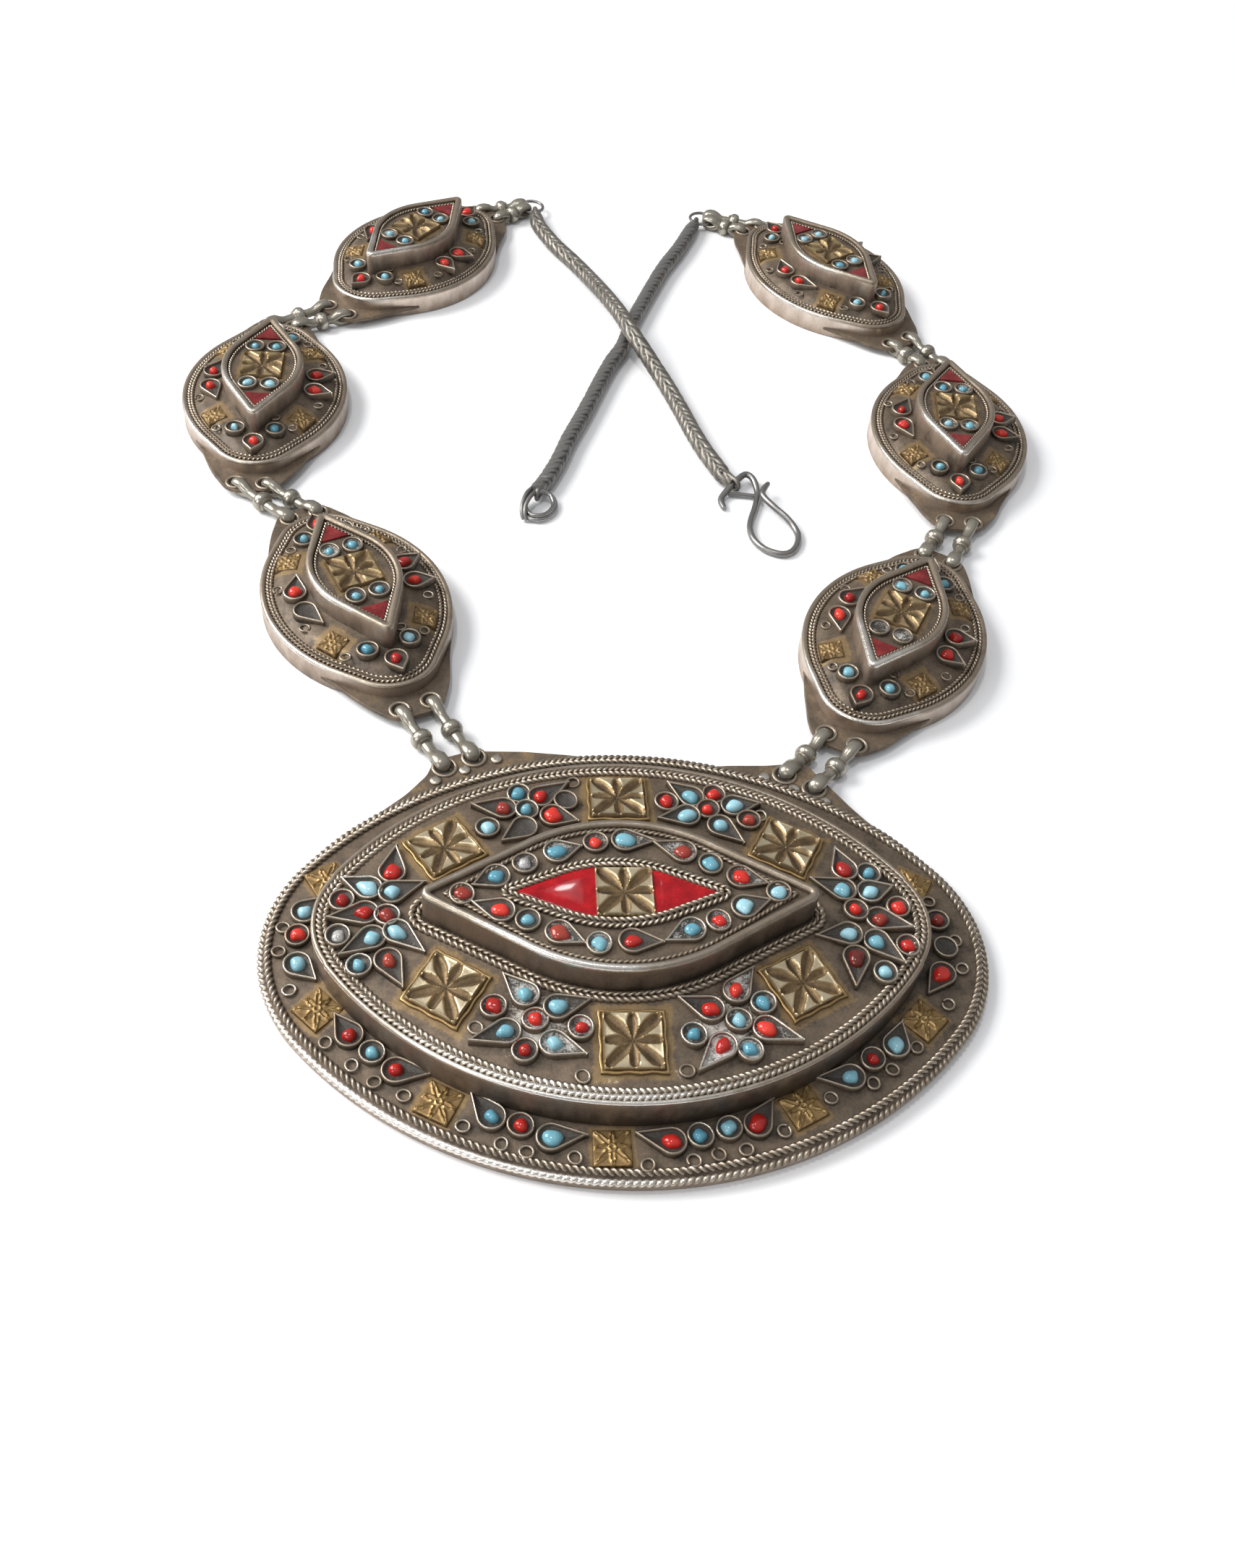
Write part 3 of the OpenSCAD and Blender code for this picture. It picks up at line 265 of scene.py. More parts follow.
# Bezels: radius of a round wall and of a drop's round end, to the middle of the wall, how many
# points that has, and the wall's section as sideways, up, wear
ROUND_CELL = 1.86
DROP_CELL = 2.04
CELL_POINTS = 20
CELL = np.array([(-0.23, -0.5, 0.0), (-0.23, 0.7, 0.22), (-0.15, 0.9, 0.5), (0.0, 0.97, 0.68),
                 (0.15, 0.9, 0.5), (0.23, 0.7, 0.2), (0.23, -0.5, 0.0)])
# Wear round the section of a small wire ring, from its outside over its top
RING_WEAR = np.array([0.3, 0.46, 0.62, 0.46, 0.3, 0.05, 0.05])
# A small dome beside the link holes, and the thin plate under a large gilt square: reach,
# height, wear
DOT = [(1.0, -0.1, 0.1), (1.0, 0.2, 0.35), (0.84, 0.38, 0.72), (0.4, 0.46, 0.76),
       (0.02, 0.47, 0.76)]
BASE_PLATE = [(1.0, -1.2, 0.05), (1.0, 0.36, 0.2), (0.985, 0.46, 0.42), (0.96, 0.5, 0.36),
              (0.93, 0.5, 0.3), (0.9, 0.36, 0.04), (0.5, 0.36, 0.05)]
# The bead round the middle of a link: along, radius, wear
BEAD = [(-1.4, 0.6, 0.05), (-1.36, 1.25, 0.25), (-1.15, 1.7, 0.42), (-0.7, 1.96, 0.5),
        (-0.1, 2.05, 0.54), (0.45, 1.96, 0.48), (0.85, 1.62, 0.25), (1.0, 1.5, 0.08),
        (1.15, 1.56, 0.36), (1.35, 1.4, 0.38), (1.46, 1.05, 0.3), (1.5, 0.6, 0.05)]
# One half of a twisted wire's section: direction in degrees, reach, wear
STRAND = [(0, 1.0, 0.46), (31, 0.9, 0.4), (61, 0.68, 0.22), (90, 0.46, -0.02),
          (119, 0.68, 0.22), (149, 0.9, 0.4)]
FINE_STRAND = [(0, 1.0, 0.44), (48, 0.8, 0.3), (90, 0.5, 0.02), (132, 0.8, 0.3)]

# Chains: length of a grain, how far it slants across its column, where the columns meet, how
# deep the grooves are away from there, and how square the chain is
WEAVE = {"left": (2.5, 0.75, 70, 0.55, 0.0), "right": (1.9, 0.55, 127, 0.2, 0.12)}
# Radius of a chain, the length over which it thins out at an end, and the step along it
CHAIN_RADIUS = 1.87
CHAIN_TAPER = 4.5
CHAIN_STEP = 0.25
# Where the woven part of each chain starts and ends
CHAIN_ENDS = {
    "left": ((-8.5, 227.2, 2.0), (31.5, 119.1, 2.1)),
    "right": ((32.6, 225.4, 2.0), (-10.9, 113.9, 2.6)),
}

# Pale powder on the upper field: x, y, reach, how much
POWDER = [(-13.5, -19.5, 8.5, 0.7), (15.5, -20, 8.5, 0.68), (-16, 18.5, 6.0, 0.3),
          (38, -3, 8, 0.28), (-39, -4, 8, 0.3), (-3, -29, 6, 0.36), (7, -28, 5, 0.4)]
# The side on which edges get painted highlight, where the window light reflects, with some real wear:
# its direction and how far it reaches, in degrees
SHEEN_WAY = -124
SHEEN_REACH = 44

# Lines and outlines in plan


def angles(count):
    """Even directions all round, in radians."""
    return np.arange(count) * 2 * math.pi / count


def around(x, y, r, g):
    """Points in plan at a distance r from x, y, in the directions g."""
    return np.column_stack([x + r * np.cos(g), y + r * np.sin(g)])


def at_points(value, flat):
    """A value for points in plan, which may be a function of x and y."""
    return value(*flat.T) if callable(value) else value


def at_height(flat, z):
    """Points in plan, lifted to z: a number, one for each, or a function of x and y."""
    return np.column_stack([flat, np.broadcast_to(at_points(z, flat), (len(flat),))])


def circle(x, y, z, r, count):
    return at_height(around(x, y, r, angles(count)), z)


def measured(points, closed):
    """The points of a line, closed where asked, and how far along it each one lies."""
    points = np.asarray(points, float)
    if closed:
        points = np.vstack([points, points[:1]])
    steps = np.linalg.norm(np.diff(points, axis=0), axis=1)
    return points, np.concatenate([[0], np.cumsum(steps)])


def resample(points, count, closed):
    points, at = measured(points, closed)
    where = np.linspace(0, at[-1], count, endpoint=not closed)
    return np.stack([np.interp(where, at, column) for column in points.T], 1)


def smooth(points, each, closed=False):
    """A curve through all points, with so many steps between each two."""
    p = np.asarray(points, float)
    p = np.vstack([p[-1:], p, p[:2]] if closed else [p[:1], p, p[-1:]])
    t = (np.arange(each) / each)[:, None]
    out = []
    for before, start, end, after in zip(p, p[1:], p[2:], p[3:]):
        square = 2 * before - 5 * start + 4 * end - after
        cube = 3 * start - before - 3 * end + after
        out.append(0.5 * (2 * start + (end - before) * t + square * t * t + cube * t ** 3))
    return np.vstack(out if closed else [*out, p[-1:]])


def outline(o, inset, count, at=(0.0, 0.0)):
    """Closed outline of count points, moved inwards by inset. Where that takes the tip circles
    away, it runs to a sharp tip."""
    tip_x, tip_r, sink, main_r, angle = o
    tip_r -= inset
    main_r -= inset
    a = math.radians(angle)
    points = []
    for side, middle in ((1, 0), (-1, math.pi)):
        if tip_r > 0.05:
            points.append(around(side * tip_x, 0, tip_r, middle + np.linspace(-a, a, 25)))
        else:
            end_x, end_y = main_r * math.cos(a), main_r * math.sin(a) - sink
            points.append([(side * (end_x + end_y * math.tan(a)), 0.0)])
        points.append(around(0, -side * sink, main_r,
                             np.linspace(middle + a, middle + math.pi - a, 121)))
    return resample(np.vstack(points), count, True) + at


def polar(o, inset, count, at=(0.0, 0.0)):
    """Outline points at even directions from its middle."""
    p = outline(o, inset, 1440)
    way = np.arctan2(p[:, 1], p[:, 0]) % (2 * math.pi)
    order = np.argsort(way)
    g = angles(count)
    r = np.interp(g, way[order], np.linalg.norm(p[order], axis=1), period=2 * math.pi)
    return around(*at, r, g)


def shrink(points, by):
    """Moves a closed outline in plan inwards by a small distance."""
    p = np.asarray(points, float)
    d = np.roll(p, -1, 0) - np.roll(p, 1, 0)
    n = np.column_stack([-d[:, 1], d[:, 0]]) / np.linalg.norm(d, axis=1)[:, None]
    area = np.sum(p[:, 0] * np.roll(p[:, 1], -1) - p[:, 1] * np.roll(p[:, 0], -1))
    return p + n * by * (1 if area > 0 else -1)


def rounded(points, r, wave):
    """A closed outline with its corners rounded over r, cut a little uneven."""
    out = []
    for i, p in enumerate(points):
        a, b = points[i - 1] - p, points[(i + 1) % len(points)] - p
        ra, rb = [min(r, np.linalg.norm(v) * 0.45) / np.linalg.norm(v) for v in (a, b)]
        start, end = p + a * ra, p + b * rb
        out += [(1 - t) ** 2 * start + 2 * t * (1 - t) * p + t * t * end for t in (0, 0.33, 0.67, 1)]
    out = resample(out, 96, True)
    uneven = 0.5 + 0.5 * np.sin(np.arange(96) * 0.63 + rng.rand() * 6)
    return shrink(out, wave * uneven[:, None])


class Field:
    """A bulging field: its height and its normal at a point in plan. It is rise higher in its
    middle than at half_x or half_y from there."""

    def __init__(self, level, rise, half_x, half_y):
        self.level = level
        self.rise = rise
        self.half_x = half_x
        self.half_y = half_y

    def z(self, x, y):
        return self.level + self.rise * (1 - (x / self.half_x) ** 2 - (y / self.half_y) ** 2)

    def normal(self, x, y):
        return Vector((2 * self.rise * x / self.half_x ** 2,
                       2 * self.rise * y / self.half_y ** 2, 1)).normalized()


UPPER = Field(9.3, 2.7, 48, 32)
PLAQUE_FIELD = Field(4.8, 3.0, 25, 17)

# Pieces and their faces


class Shape:
    """The faces of one piece, with wear and patina values (in places with painted highlight and
    painted shade added), gold and pale values at each point. place is x, y and turn of the
    piece's own axes, where it has them."""

    def __init__(self, place=None):
        self.place = place
        self.points = []
        self.faces = []
        self.slots = []
        self.values = {"wear": [], "gold": [], "pale": []}
        self.count = 0

    def add(self, points, faces, wear=0.4, gold=0.0, pale=0.0, slot=0):
        """Adds points, and faces whose numbers start at the first of them."""
        points = np.asarray(points, float).reshape(-1, 3)
        for name, value in (("wear", wear), ("gold", gold), ("pale", pale)):
            self.values[name].append(np.broadcast_to(value, (len(points),)).astype(float))
        self.points.append(points)
        self.faces += [[self.count + v for v in face] for face in faces]
        self.slots += [slot] * len(faces)
        self.count += len(points)

    def placed(self):
        """All points in the necklace's axes, in metres, none below the table."""
        points = np.vstack(self.points)
        if self.place:
            x, y, degrees = self.place
            c, s = math.cos(math.radians(degrees)), math.sin(math.radians(degrees))
            points[:, :2] = points[:, :2] @ np.array([[c, s], [-s, c]]) + (x, y)
        points[:, 2] = np.maximum(points[:, 2], 0)
        return points * MM

    def build(self, name, materials, slot, *nodes, sharp=38):
        """Makes the piece, which stands for the nodes."""
        mesh = bpy.data.meshes.new(name)
        mesh.from_pydata(self.placed().tolist(), [], self.faces)
        for key, parts in self.values.items():
            mesh.attributes.new(key, "FLOAT", "POINT")
            mesh.attributes[key].data.foreach_set("value", np.concatenate(parts))
        for material in materials:
            mesh.materials.append(material)
        mesh.polygons.foreach_set("material_index", self.slots)
        mesh.polygons.foreach_set("use_smooth", [True] * len(mesh.polygons))
        mesh.set_sharp_from_angle(angle=math.radians(sharp))
        mesh.update()
        obj = new_object(name, mesh)
        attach(obj, "root")
        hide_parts(*nodes)


def grid(rows, cols, wrap_cols=True, wrap_rows=False, flip=False):
    """Faces of a grid of points, row by row."""
    r = np.arange(rows if wrap_rows else rows - 1)
    c = np.arange(cols if wrap_cols else cols - 1)
    r0, c0 = [a.ravel() for a in np.meshgrid(r, c, indexing="ij")]
    r1, c1 = (r0 + 1) % rows, (c0 + 1) % cols
    faces = np.stack([r0 * cols + c0, r0 * cols + c1, r1 * cols + c1, r1 * cols + c0], 1)
    return faces[:, ::-1 if flip else 1].tolist()


def row_wear(rows, count):
    """The wear in the last column of a table, for count points on each row."""
    return np.repeat([row[-1] for row in rows], count)


def loops(edge, middle, z, rows):
    """Copies of a loop in plan, each drawn in towards the middle and lifted: reach, height."""
    return np.vstack([at_height(middle + (edge - middle) * k, z + h) for k, h, *_ in rows])


def directions(path, closed):
    """Unit directions along a path."""
    along = np.roll(path, -1, 0) - np.roll(path, 1, 0) if closed else np.gradient(path, axis=0)
    return along / np.linalg.norm(along, axis=1)[:, None]


def sweep(shape, path, profile, closed, ring=False, gold=0.0):
    """Carries a profile (sideways, up, wear) along a path, with flat ends where that is open.
    The profile may differ at each point, and is itself a ring where asked."""
    profile = np.broadcast_to(profile, (len(path), *np.shape(profile)[-2:]))
    along = directions(path, closed)
    side = np.cross(along, (0, 0, 1.0))
    side /= np.maximum(np.linalg.norm(side, axis=1), 1e-9)[:, None]
    up = np.cross(side, along)
    points = path[:, None] + profile[..., :1] * side[:, None] + profile[..., 1:2] * up[:, None]
    count = profile.shape[1]
    faces = grid(len(path), count, wrap_cols=ring, wrap_rows=closed)
    if not closed:
        for first, way in ((0, 1), ((len(path) - 1) * count, -1)):
            faces += [[first, first + j, first + j + 1][::way] for j in range(1, count - 1)]
    shape.add(points, faces, wear=profile[..., 2].ravel(), gold=gold)


def tube(shape, path, radius, wear, closed=False, sides=10):
    g = angles(sides)
    radius = np.broadcast_to(radius, (len(path),))[:, None]
    wear = np.broadcast_to(wear, (len(path), sides))
    profile = np.stack([radius * np.cos(g), radius * np.sin(g), wear], 2)
    sweep(shape, path, profile, closed, ring=True)


def rope(shape, path, radius, grain, hand, bright=0.0, flat=1.0, gold=0.0, calm=0.0,
         strand=STRAND):
    """A closed wire of two strands twisted together. hand is 1 or -1. bright is a number or a
    function of x and y that evens the grooves too, flat is where wear has cut the tops, calm
    evens the grooves everywhere."""
    steps = len(strand)
    grains = 2 * round(measured(path, True)[1][-1] / grain / 2)
    path = resample(path, grains * steps, True)
    degrees, reach, worn_and_lit = np.vstack([strand, np.add(strand, (180, 0, 0))]).T
    turn = hand * math.pi / steps * np.arange(len(path))
    g = np.radians(degrees) + turn[:, None]
    if callable(bright):
        bright = at_points(bright, path[:, :2])[:, None]
        calm = calm + 0.9 * bright
    rho = radius * (reach + (1 - reach) * calm)
    # Painted highlight: the strands' own wear, brightened on their upper sides and, where given, on the
    # near-left side
    wear = worn_and_lit * (1 - calm) + 0.3 * calm + 0.2 * np.maximum(np.sin(g), 0) + bright
    up = np.minimum(rho * np.sin(g), radius * flat)
    sweep(shape, path, np.stack([rho * np.cos(g), up, wear], 2), True, ring=True, gold=gold)


def lathe(shape, at, axis, profile, cols):
    """Turns a profile (along, radius, wear) round a level axis through the point at."""
    axis = np.array(axis) / np.linalg.norm(axis)
    side = np.cross(axis, (0, 0, 1.0))
    up = np.cross(side, axis)
    g = angles(cols)
    rim = np.outer(np.cos(g), side) + np.outer(np.sin(g), up)
    points = np.vstack([at + axis * along + r * rim for along, r, _ in profile])
    shape.add(points, grid(len(profile), cols), wear=row_wear(profile, cols))


def turned(points, at, degrees, normal):
    """Turns points about their middle, tilts them to a field's normal and moves them."""
    spin = Matrix.Rotation(math.radians(degrees), 3, "Z")
    tilt = Vector((0, 0, 1)).rotation_difference(Vector(normal)).to_matrix()
    return points @ np.array(tilt @ spin).T + at


def back(shape, edge):
    """The flat underside of a box."""
    shape.add(at_height(edge, 0.0), [range(len(edge))[::-1]], wear=0.35)


def walls(shape, o, levels, count, at=(0.0, 0.0), slot=0, bright=0.0):
    """A wall or a rim along an outline, with a row of points for each level."""
    points = np.vstack([at_height(outline(o, inset, count, at), z) for inset, z, _ in levels])
    wear = row_wear(levels, count) + at_points(bright, points[:, :2])
    shape.add(points, grid(len(levels), count, flip=True), wear=wear, slot=slot)


def grime(x, y, stones):
    """How dark the dirt lies round the cells of a field."""
    deep = 0.0
    for row in stones:
        deep = np.maximum(deep, np.clip(1.6 - np.hypot(x - row[0], y - row[1]) / 2.4, 0, 1))
    return 0.14 * deep


def ring_field(shape, outer, inner, height, rings, wear, stones, gold=0.0, pale=0.0):
    """A field between two loops of as many points. height is a function of x, y and how far
    in a point lies, from 0 to 1."""
    k = np.linspace(0, 1, rings + 1)
    flat = np.vstack([outer + (inner - outer) * t for t in k])
    x, y = flat.T
    # Painted shade: besides the dirt round the cells, the field darkens towards larger x, in the
    # piece's own axes
    wear = wear - grime(x, y, stones) - 0.06 * np.clip(x / 40, 0, 1)
    shape.add(at_height(flat, height(x, y, np.repeat(k, len(outer)))), grid(rings + 1, len(outer)),
              wear=wear, gold=at_points(gold, flat), pale=at_points(pale, flat))


def near_squares(squares, reach, fade):
    """A function of x and y: 1 within squares of half side reach, falling to 0 over fade."""
    def near(x, y):
        best = 0.0
        for middle_x, middle_y, degrees in squares:
            a = math.radians(-degrees)
            dx, dy = x - middle_x, y - middle_y
            along = np.abs(dx * math.cos(a) - dy * math.sin(a))
            across = np.abs(dx * math.sin(a) + dy * math.cos(a))
            out = np.maximum(along, across) - reach
            best = np.maximum(best, np.clip(1 - out / fade, 0, 1))
        return best
    return near


def near_left_sheen(much, turn=0.0, base=0.0):
    """A function of x and y: painted highlight on an edge, strongest on its near left side, where
    the window light reflects, with some real wear there too. turn is the piece's own turn."""
    def worn_and_lit(x, y):
        way = (np.degrees(np.arctan2(y, x)) + turn - SHEEN_WAY + 180) % 360 - 180
        return base + much * np.exp(-(way / SHEEN_REACH) ** 2)
    return worn_and_lit


def shade(x, y):
    """Painted shade: how much darker the pendant's walls are towards the right, away from the light."""
    return -0.16 * np.clip(0.5 + x / 40, 0, 1)


# Cells, stones and rings


def spread(amount):
    """A random step up or down, of half the amount at most."""
    return (rng.rand() - 0.5) * amount


def cell_path(row):
    """The middle line of a bezel's wall, and whether it closes."""
    middle = np.array(row[:2])
    if len(row) == 3:
        g = angles(CELL_POINTS) + rng.rand() * 6
        return around(*middle, ROUND_CELL * (1 + 0.03 * np.cos(2 * g + rng.rand() * 6)), g), True
    way = np.array(row[2:4]) - middle
    far = np.linalg.norm(way)
    reach = far + 0.35
    opening = math.acos(min(DROP_CELL / reach, 0.98))
    g = np.linspace(opening, 2 * math.pi - opening, CELL_POINTS) + math.atan2(way[1], way[0])
    arc = around(*middle, DROP_CELL, g)
    tip = middle + way / far * reach
    ends = [tip + (arc[i] - tip) * k for i, k in ((0, 0.35), (0, 0.7), (-1, 0.7), (-1, 0.35))]
    cross = 0.1 + 0.25 * rng.rand()
    first = tip + (tip - arc[0]) / np.linalg.norm(tip - arc[0]) * cross
    return np.vstack([[first], ends[:2], arc, ends[2:], [tip]]), False


def bezel(shape, paste, row, z, tall, pale, bright=0.0):
    """The wire wall of a stone's cell, and the dark cement inside it."""
    flat, closed = cell_path(row)
    wear = spread(0.25) + bright
    sweep(shape, at_height(flat, z), CELL * (1, tall, 1) + (0, 0, wear), closed)
    n = len(flat)
    middle = flat.mean(0) if closed else np.array(row[:2])
    rings = [(0.97, 0.62 * tall), (0.75, 0.46 * tall), (0.4, 0.38 * tall)]
    points = np.vstack([loops(flat, middle, z, rings), (*middle, z + 0.36 * tall)])
    points[:, 2] += (rng.rand(len(points)) - 0.5) * 0.12
    cap = [[2 * n + i, 2 * n + (i + 1) % n, 3 * n] for i in range(n)]
    paste.add(points, grid(3, n) + cap, pale=pale)


def dome(shape, x, y, z, rx, ry, high, turn, tint, point=0.0):
    """A small hand-cut stone on the level z: a little square, lopsided and flat on top.
    point draws it out along its turned x axis."""
    rows, cols = 8, 18
    g = angles(cols)
    power = 2.1 + 1.3 * rng.rand()
    shift = rng.rand() * 6
    square = np.abs(np.cos(g + shift)) ** power + np.abs(np.sin(g + shift)) ** power
    edge = 0.93 * square ** (-1 / power) * (1 + 0.07 * np.cos(2 * g + rng.rand() * 6)
                                            + 0.05 * np.cos(3 * g + rng.rand() * 6))
    lean_x, lean_y = (rng.rand(2) - 0.5) * 0.3
    c, s = math.cos(turn), math.sin(turn)
    points = []
    for phi in np.radians(np.linspace(5, 98, rows)):
        k = math.sin(phi) ** 0.85
        h = math.cos(phi) if phi > math.pi / 2 else math.cos(phi) ** 0.8
        out = 1 + point * np.maximum(np.cos(g), 0) ** 3 * math.sin(phi)
        px = rx * k * out * np.cos(g) * edge + lean_x * (1 - k)
        py = ry * k * np.sin(g) * edge + lean_y * (1 - k)
        flat = np.column_stack([x + px * c - py * s, y + px * s + py * c])
        points.append(at_height(flat, z + high * h))
    points = np.vstack([*points, points[0].mean(0)])
    cap = [[(i + 1) % cols, i, rows * cols] for i in range(cols)]
    shape.add(points, grid(rows, cols) + cap, wear=tint, pale=rng.rand())


def set_stone(shape, row, z, high, size):
    """One stone in its cell, uneven in size and place."""
    x, y = row[0] + spread(0.26), row[1] + spread(0.26)
    tint = rng.rand()
    if len(row) == 3:
        r = size * (1.02 + 0.4 * rng.rand())
        dome(shape, x, y, z, r, r * (0.84 + 0.16 * rng.rand()), high, rng.rand() * 6, tint)
    else:
        way = math.atan2(row[3] - row[1], row[2] - row[0])
        r = size * (1.14 + 0.46 * rng.rand())
        dome(shape, x, y, z, r, r * (0.84 + 0.14 * rng.rand()), high, way, tint,
             point=0.05 + 0.25 * rng.rand())


def stone_pieces(owner, kinds, places, size=1.0, place=None):
    """One piece for each kind of stone. places holds the stone's row, its floor, how far it
    stands over that, and how high it is."""
    for kind in kinds:
        shape = Shape(place)
        for row, floor_z, lift, high in places:
            if row[-1] == kind:
                set_stone(shape, row, floor_z + lift, high, size)
        shape.build(f"{owner}_{SLOTS[kind]}_stones", [STONE_LOOKS[kind]], SLOTS[kind],
                    f"{owner}_{SLOTS[kind]}")


def wire_ring(shape, x, y, z, r=0.98, wire=0.24, cut=0.0):
    """A small, slightly uneven ring of wire, open by twice the angle cut."""
    g = np.linspace(cut, 2 * math.pi - cut, 15) + rng.rand() * 6
    wide = 1 + 0.05 * np.cos(2 * g + rng.rand() * 6)
    path = at_height(around(x, y, r * wide, g), z)
    tube(shape, path if cut else path[:-1], wire, RING_WEAR + spread(0.3), not cut, 7)


def hole_rim(shape, x, y, r):
    """The ring of wire round a link hole."""
    sweep(shape, circle(x, y, EAR_TOP, r, 24),
          [(HOLE - r, -0.1, 0.0), (HOLE - r + 0.04, 0.02, 0.0), (-0.34, 0.03, 0.0),
           (-0.34, 0.14, 0.3), (-0.2, 0.3, 0.5), (0.02, 0.36, 0.6), (0.24, 0.3, 0.5),
           (0.36, 0.1, 0.3), (0.38, -0.2, 0.05)], True)


def dot(shape, x, y):
    """A small dome on a plate of the link holes."""
    edge = around(x, y, 1.05, angles(14))
    shape.add(loops(edge, (x, y), EAR_TOP, DOT), grid(len(DOT), 14), wear=row_wear(DOT, 14))


def leaf(shape, sign, edge, near, at, z):
    """A flat leaf of glass in the tip of an eye, cut off straight towards the middle."""
    edge = edge[edge[:, 0] * sign > near]
    edge = edge[np.argsort(np.arctan2(edge[:, 1], edge[:, 0] * sign))]
    edge = resample(edge[::sign], 64, True) + at
    rows = [(1.0, -0.35), (1.0, 0.0), (0.97, 0.06), (0.5, 0.08), (0.02, 0.08)]
    shape.add(loops(edge, edge.mean(0), z, rows), grid(len(rows), 64), wear=0.5)


# Stamped squares, plates and upright loops


def star_height(x, y, half):
    """A stamped square: eight leaf-shaped dents that meet in the middle of a flat top."""
    dent = np.zeros_like(x)
    for k in range(8):
        a = k * math.pi / 4
        reach = half * (1.3 if k % 2 else 0.97)
        along = x * math.cos(a) + y * math.sin(a)
        across = np.abs(-x * math.sin(a) + y * math.cos(a))
        t = np.clip(along / reach, 0, 1)
        leaf_shape = 2.6 * t ** 0.9 * (1 - t) ** 0.62 * (1 + 0.1 * np.sin(9 * t + k))
        wide = 0.1 + half * (0.185 if k % 2 else 0.145) * leaf_shape
        side = np.clip((wide - across) / 0.26 + 0.5, 0, 1)
        end = np.clip((reach - along) / 0.4, 0, 1) * (along > 0)
        vein = 0.3 * np.clip(across / np.maximum(wide, 0.1), 0, 1)
        dent = np.maximum(dent, side * end * (0.95 - vein))
    dent = np.maximum(dent, 0.62 * np.clip(1.25 - np.hypot(x, y) / 0.9, 0, 1))
    far = half - np.maximum(abs(x), abs(y))
    rim = 0.08 * np.exp(-((far - 0.28) / 0.16) ** 2)
    return np.clip(1 - dent + rim, 0, 1.1) * np.clip(far / 0.3, 0, 1) ** 0.6


def daisy_height(x, y, half):
    """A small stamped flower: the raised outlines of petals round a ring."""
    r, g = np.hypot(x, y), np.arctan2(y, x)
    far_side = np.maximum(abs(x), abs(y))
    reach = half * 0.93 / np.maximum(far_side / np.maximum(r, 1e-6), 0.72)
    wide = np.abs(np.sin(4 * g)) * np.maximum(r, 0.6) * 0.42
    edge = np.exp(-((wide - 0.14 - 0.34 * np.sin(math.pi * np.clip(r / reach, 0, 1))) / 0.13) ** 2)
    petals = edge * np.clip((reach - r) / 0.3, 0, 1) * np.clip((r - 0.7) / 0.2, 0, 1)
    ring = np.exp(-((r - 0.5) / 0.17) ** 2)
    return (0.35 + 0.6 * petals + 0.6 * ring) * np.clip((half - far_side) / 0.25, 0, 1) ** 0.5


def square_grid(half, cells):
    """x, y and faces of a fine square about its own middle."""
    t = np.linspace(-half, half, cells + 1)
    x, y = [a.ravel() for a in np.meshgrid(t, t, indexing="ij")]
    return x, y, grid(cells + 1, cells + 1, wrap_cols=False)


def base_plate(shape, at, degrees, normal, half):
    """The thin plate with an uneven edge under a large square."""
    edge = resample([(-half, -half), (half, -half), (half, half), (-half, half)], 48, True)
    edge += 0.1 * np.sin(edge[:, ::-1] * 1.7 + at[0] + at[1])
    shape.add(turned(loops(edge, 0, 0, BASE_PLATE), at, degrees, normal),
              grid(len(BASE_PLATE), 48, flip=True), wear=row_wear(BASE_PLATE, 48), gold=0.6)


def gold_square(shape, at, degrees, normal, half, low, high, cells=56, bright=0.8):
    """A large stamped square, with its dents at low and its top at high."""
    x, y, faces = square_grid(half, cells)
    h = star_height(x, y, half)
    z = low + (high - low) * h + 0.05 * np.sin(x * 1.3 + at[0]) * np.cos(y * 1.1 + at[1])
    shape.add(turned(np.column_stack([x, y, z]), at, degrees, normal), faces,
              wear=0.02 + bright * h ** 1.4)


def small_gold(shape, at, degrees, normal, half, cells=34, gold=0.7, bright=0.56):
    """A small stamped square, with its edge turned down."""
    x, y, faces = square_grid(half, cells)
    h = daisy_height(x, y, half)
    z = np.where(np.maximum(abs(x), abs(y)) > half - 0.02, -0.5, 0.1 + 0.6 * h)
    shape.add(turned(np.column_stack([x, y, z]), at, degrees, normal), faces,
              wear=0.02 + bright * h, gold=gold)


def plate(shape, edge, holes, corner, wave, wear, gold):
    """A flat plate with link holes and softened edges. Its corners are rounded over corner, and
    it is cut uneven by wave."""
    soft = 0.14
    curve = bpy.data.curves.new("plate", "CURVE")
    curve.dimensions = "2D"
    curve.fill_mode = "BOTH"
    curve.bevel_depth = soft
    curve.bevel_resolution = 1
    curve.extrude = EAR_T / 2 - soft
    for line in [rounded(shrink(edge, 0.15), corner, wave),
                 *[around(x, y, HOLE + soft, angles(20)) for x, y in holes]]:
        spline = curve.splines.new("POLY")
        spline.points.add(len(line) - 1)
        flat_and_weight = np.tile((0, 1), (len(line), 1))
        spline.points.foreach_set("co", np.hstack([line, flat_and_weight]).ravel())
        spline.use_cyclic_u = True
    obj = new_object("plate", curve)
    mesh = bpy.data.meshes.new_from_object(
        obj.evaluated_get(bpy.context.evaluated_depsgraph_get()))
    points = [(v.co.x, v.co.y, v.co.z + MID_Z) for v in mesh.vertices]
    shape.add(points, [list(f.vertices) for f in mesh.polygons], wear=wear, gold=gold)
    bpy.data.objects.remove(obj)
    bpy.data.curves.remove(curve)
    bpy.data.meshes.remove(mesh)


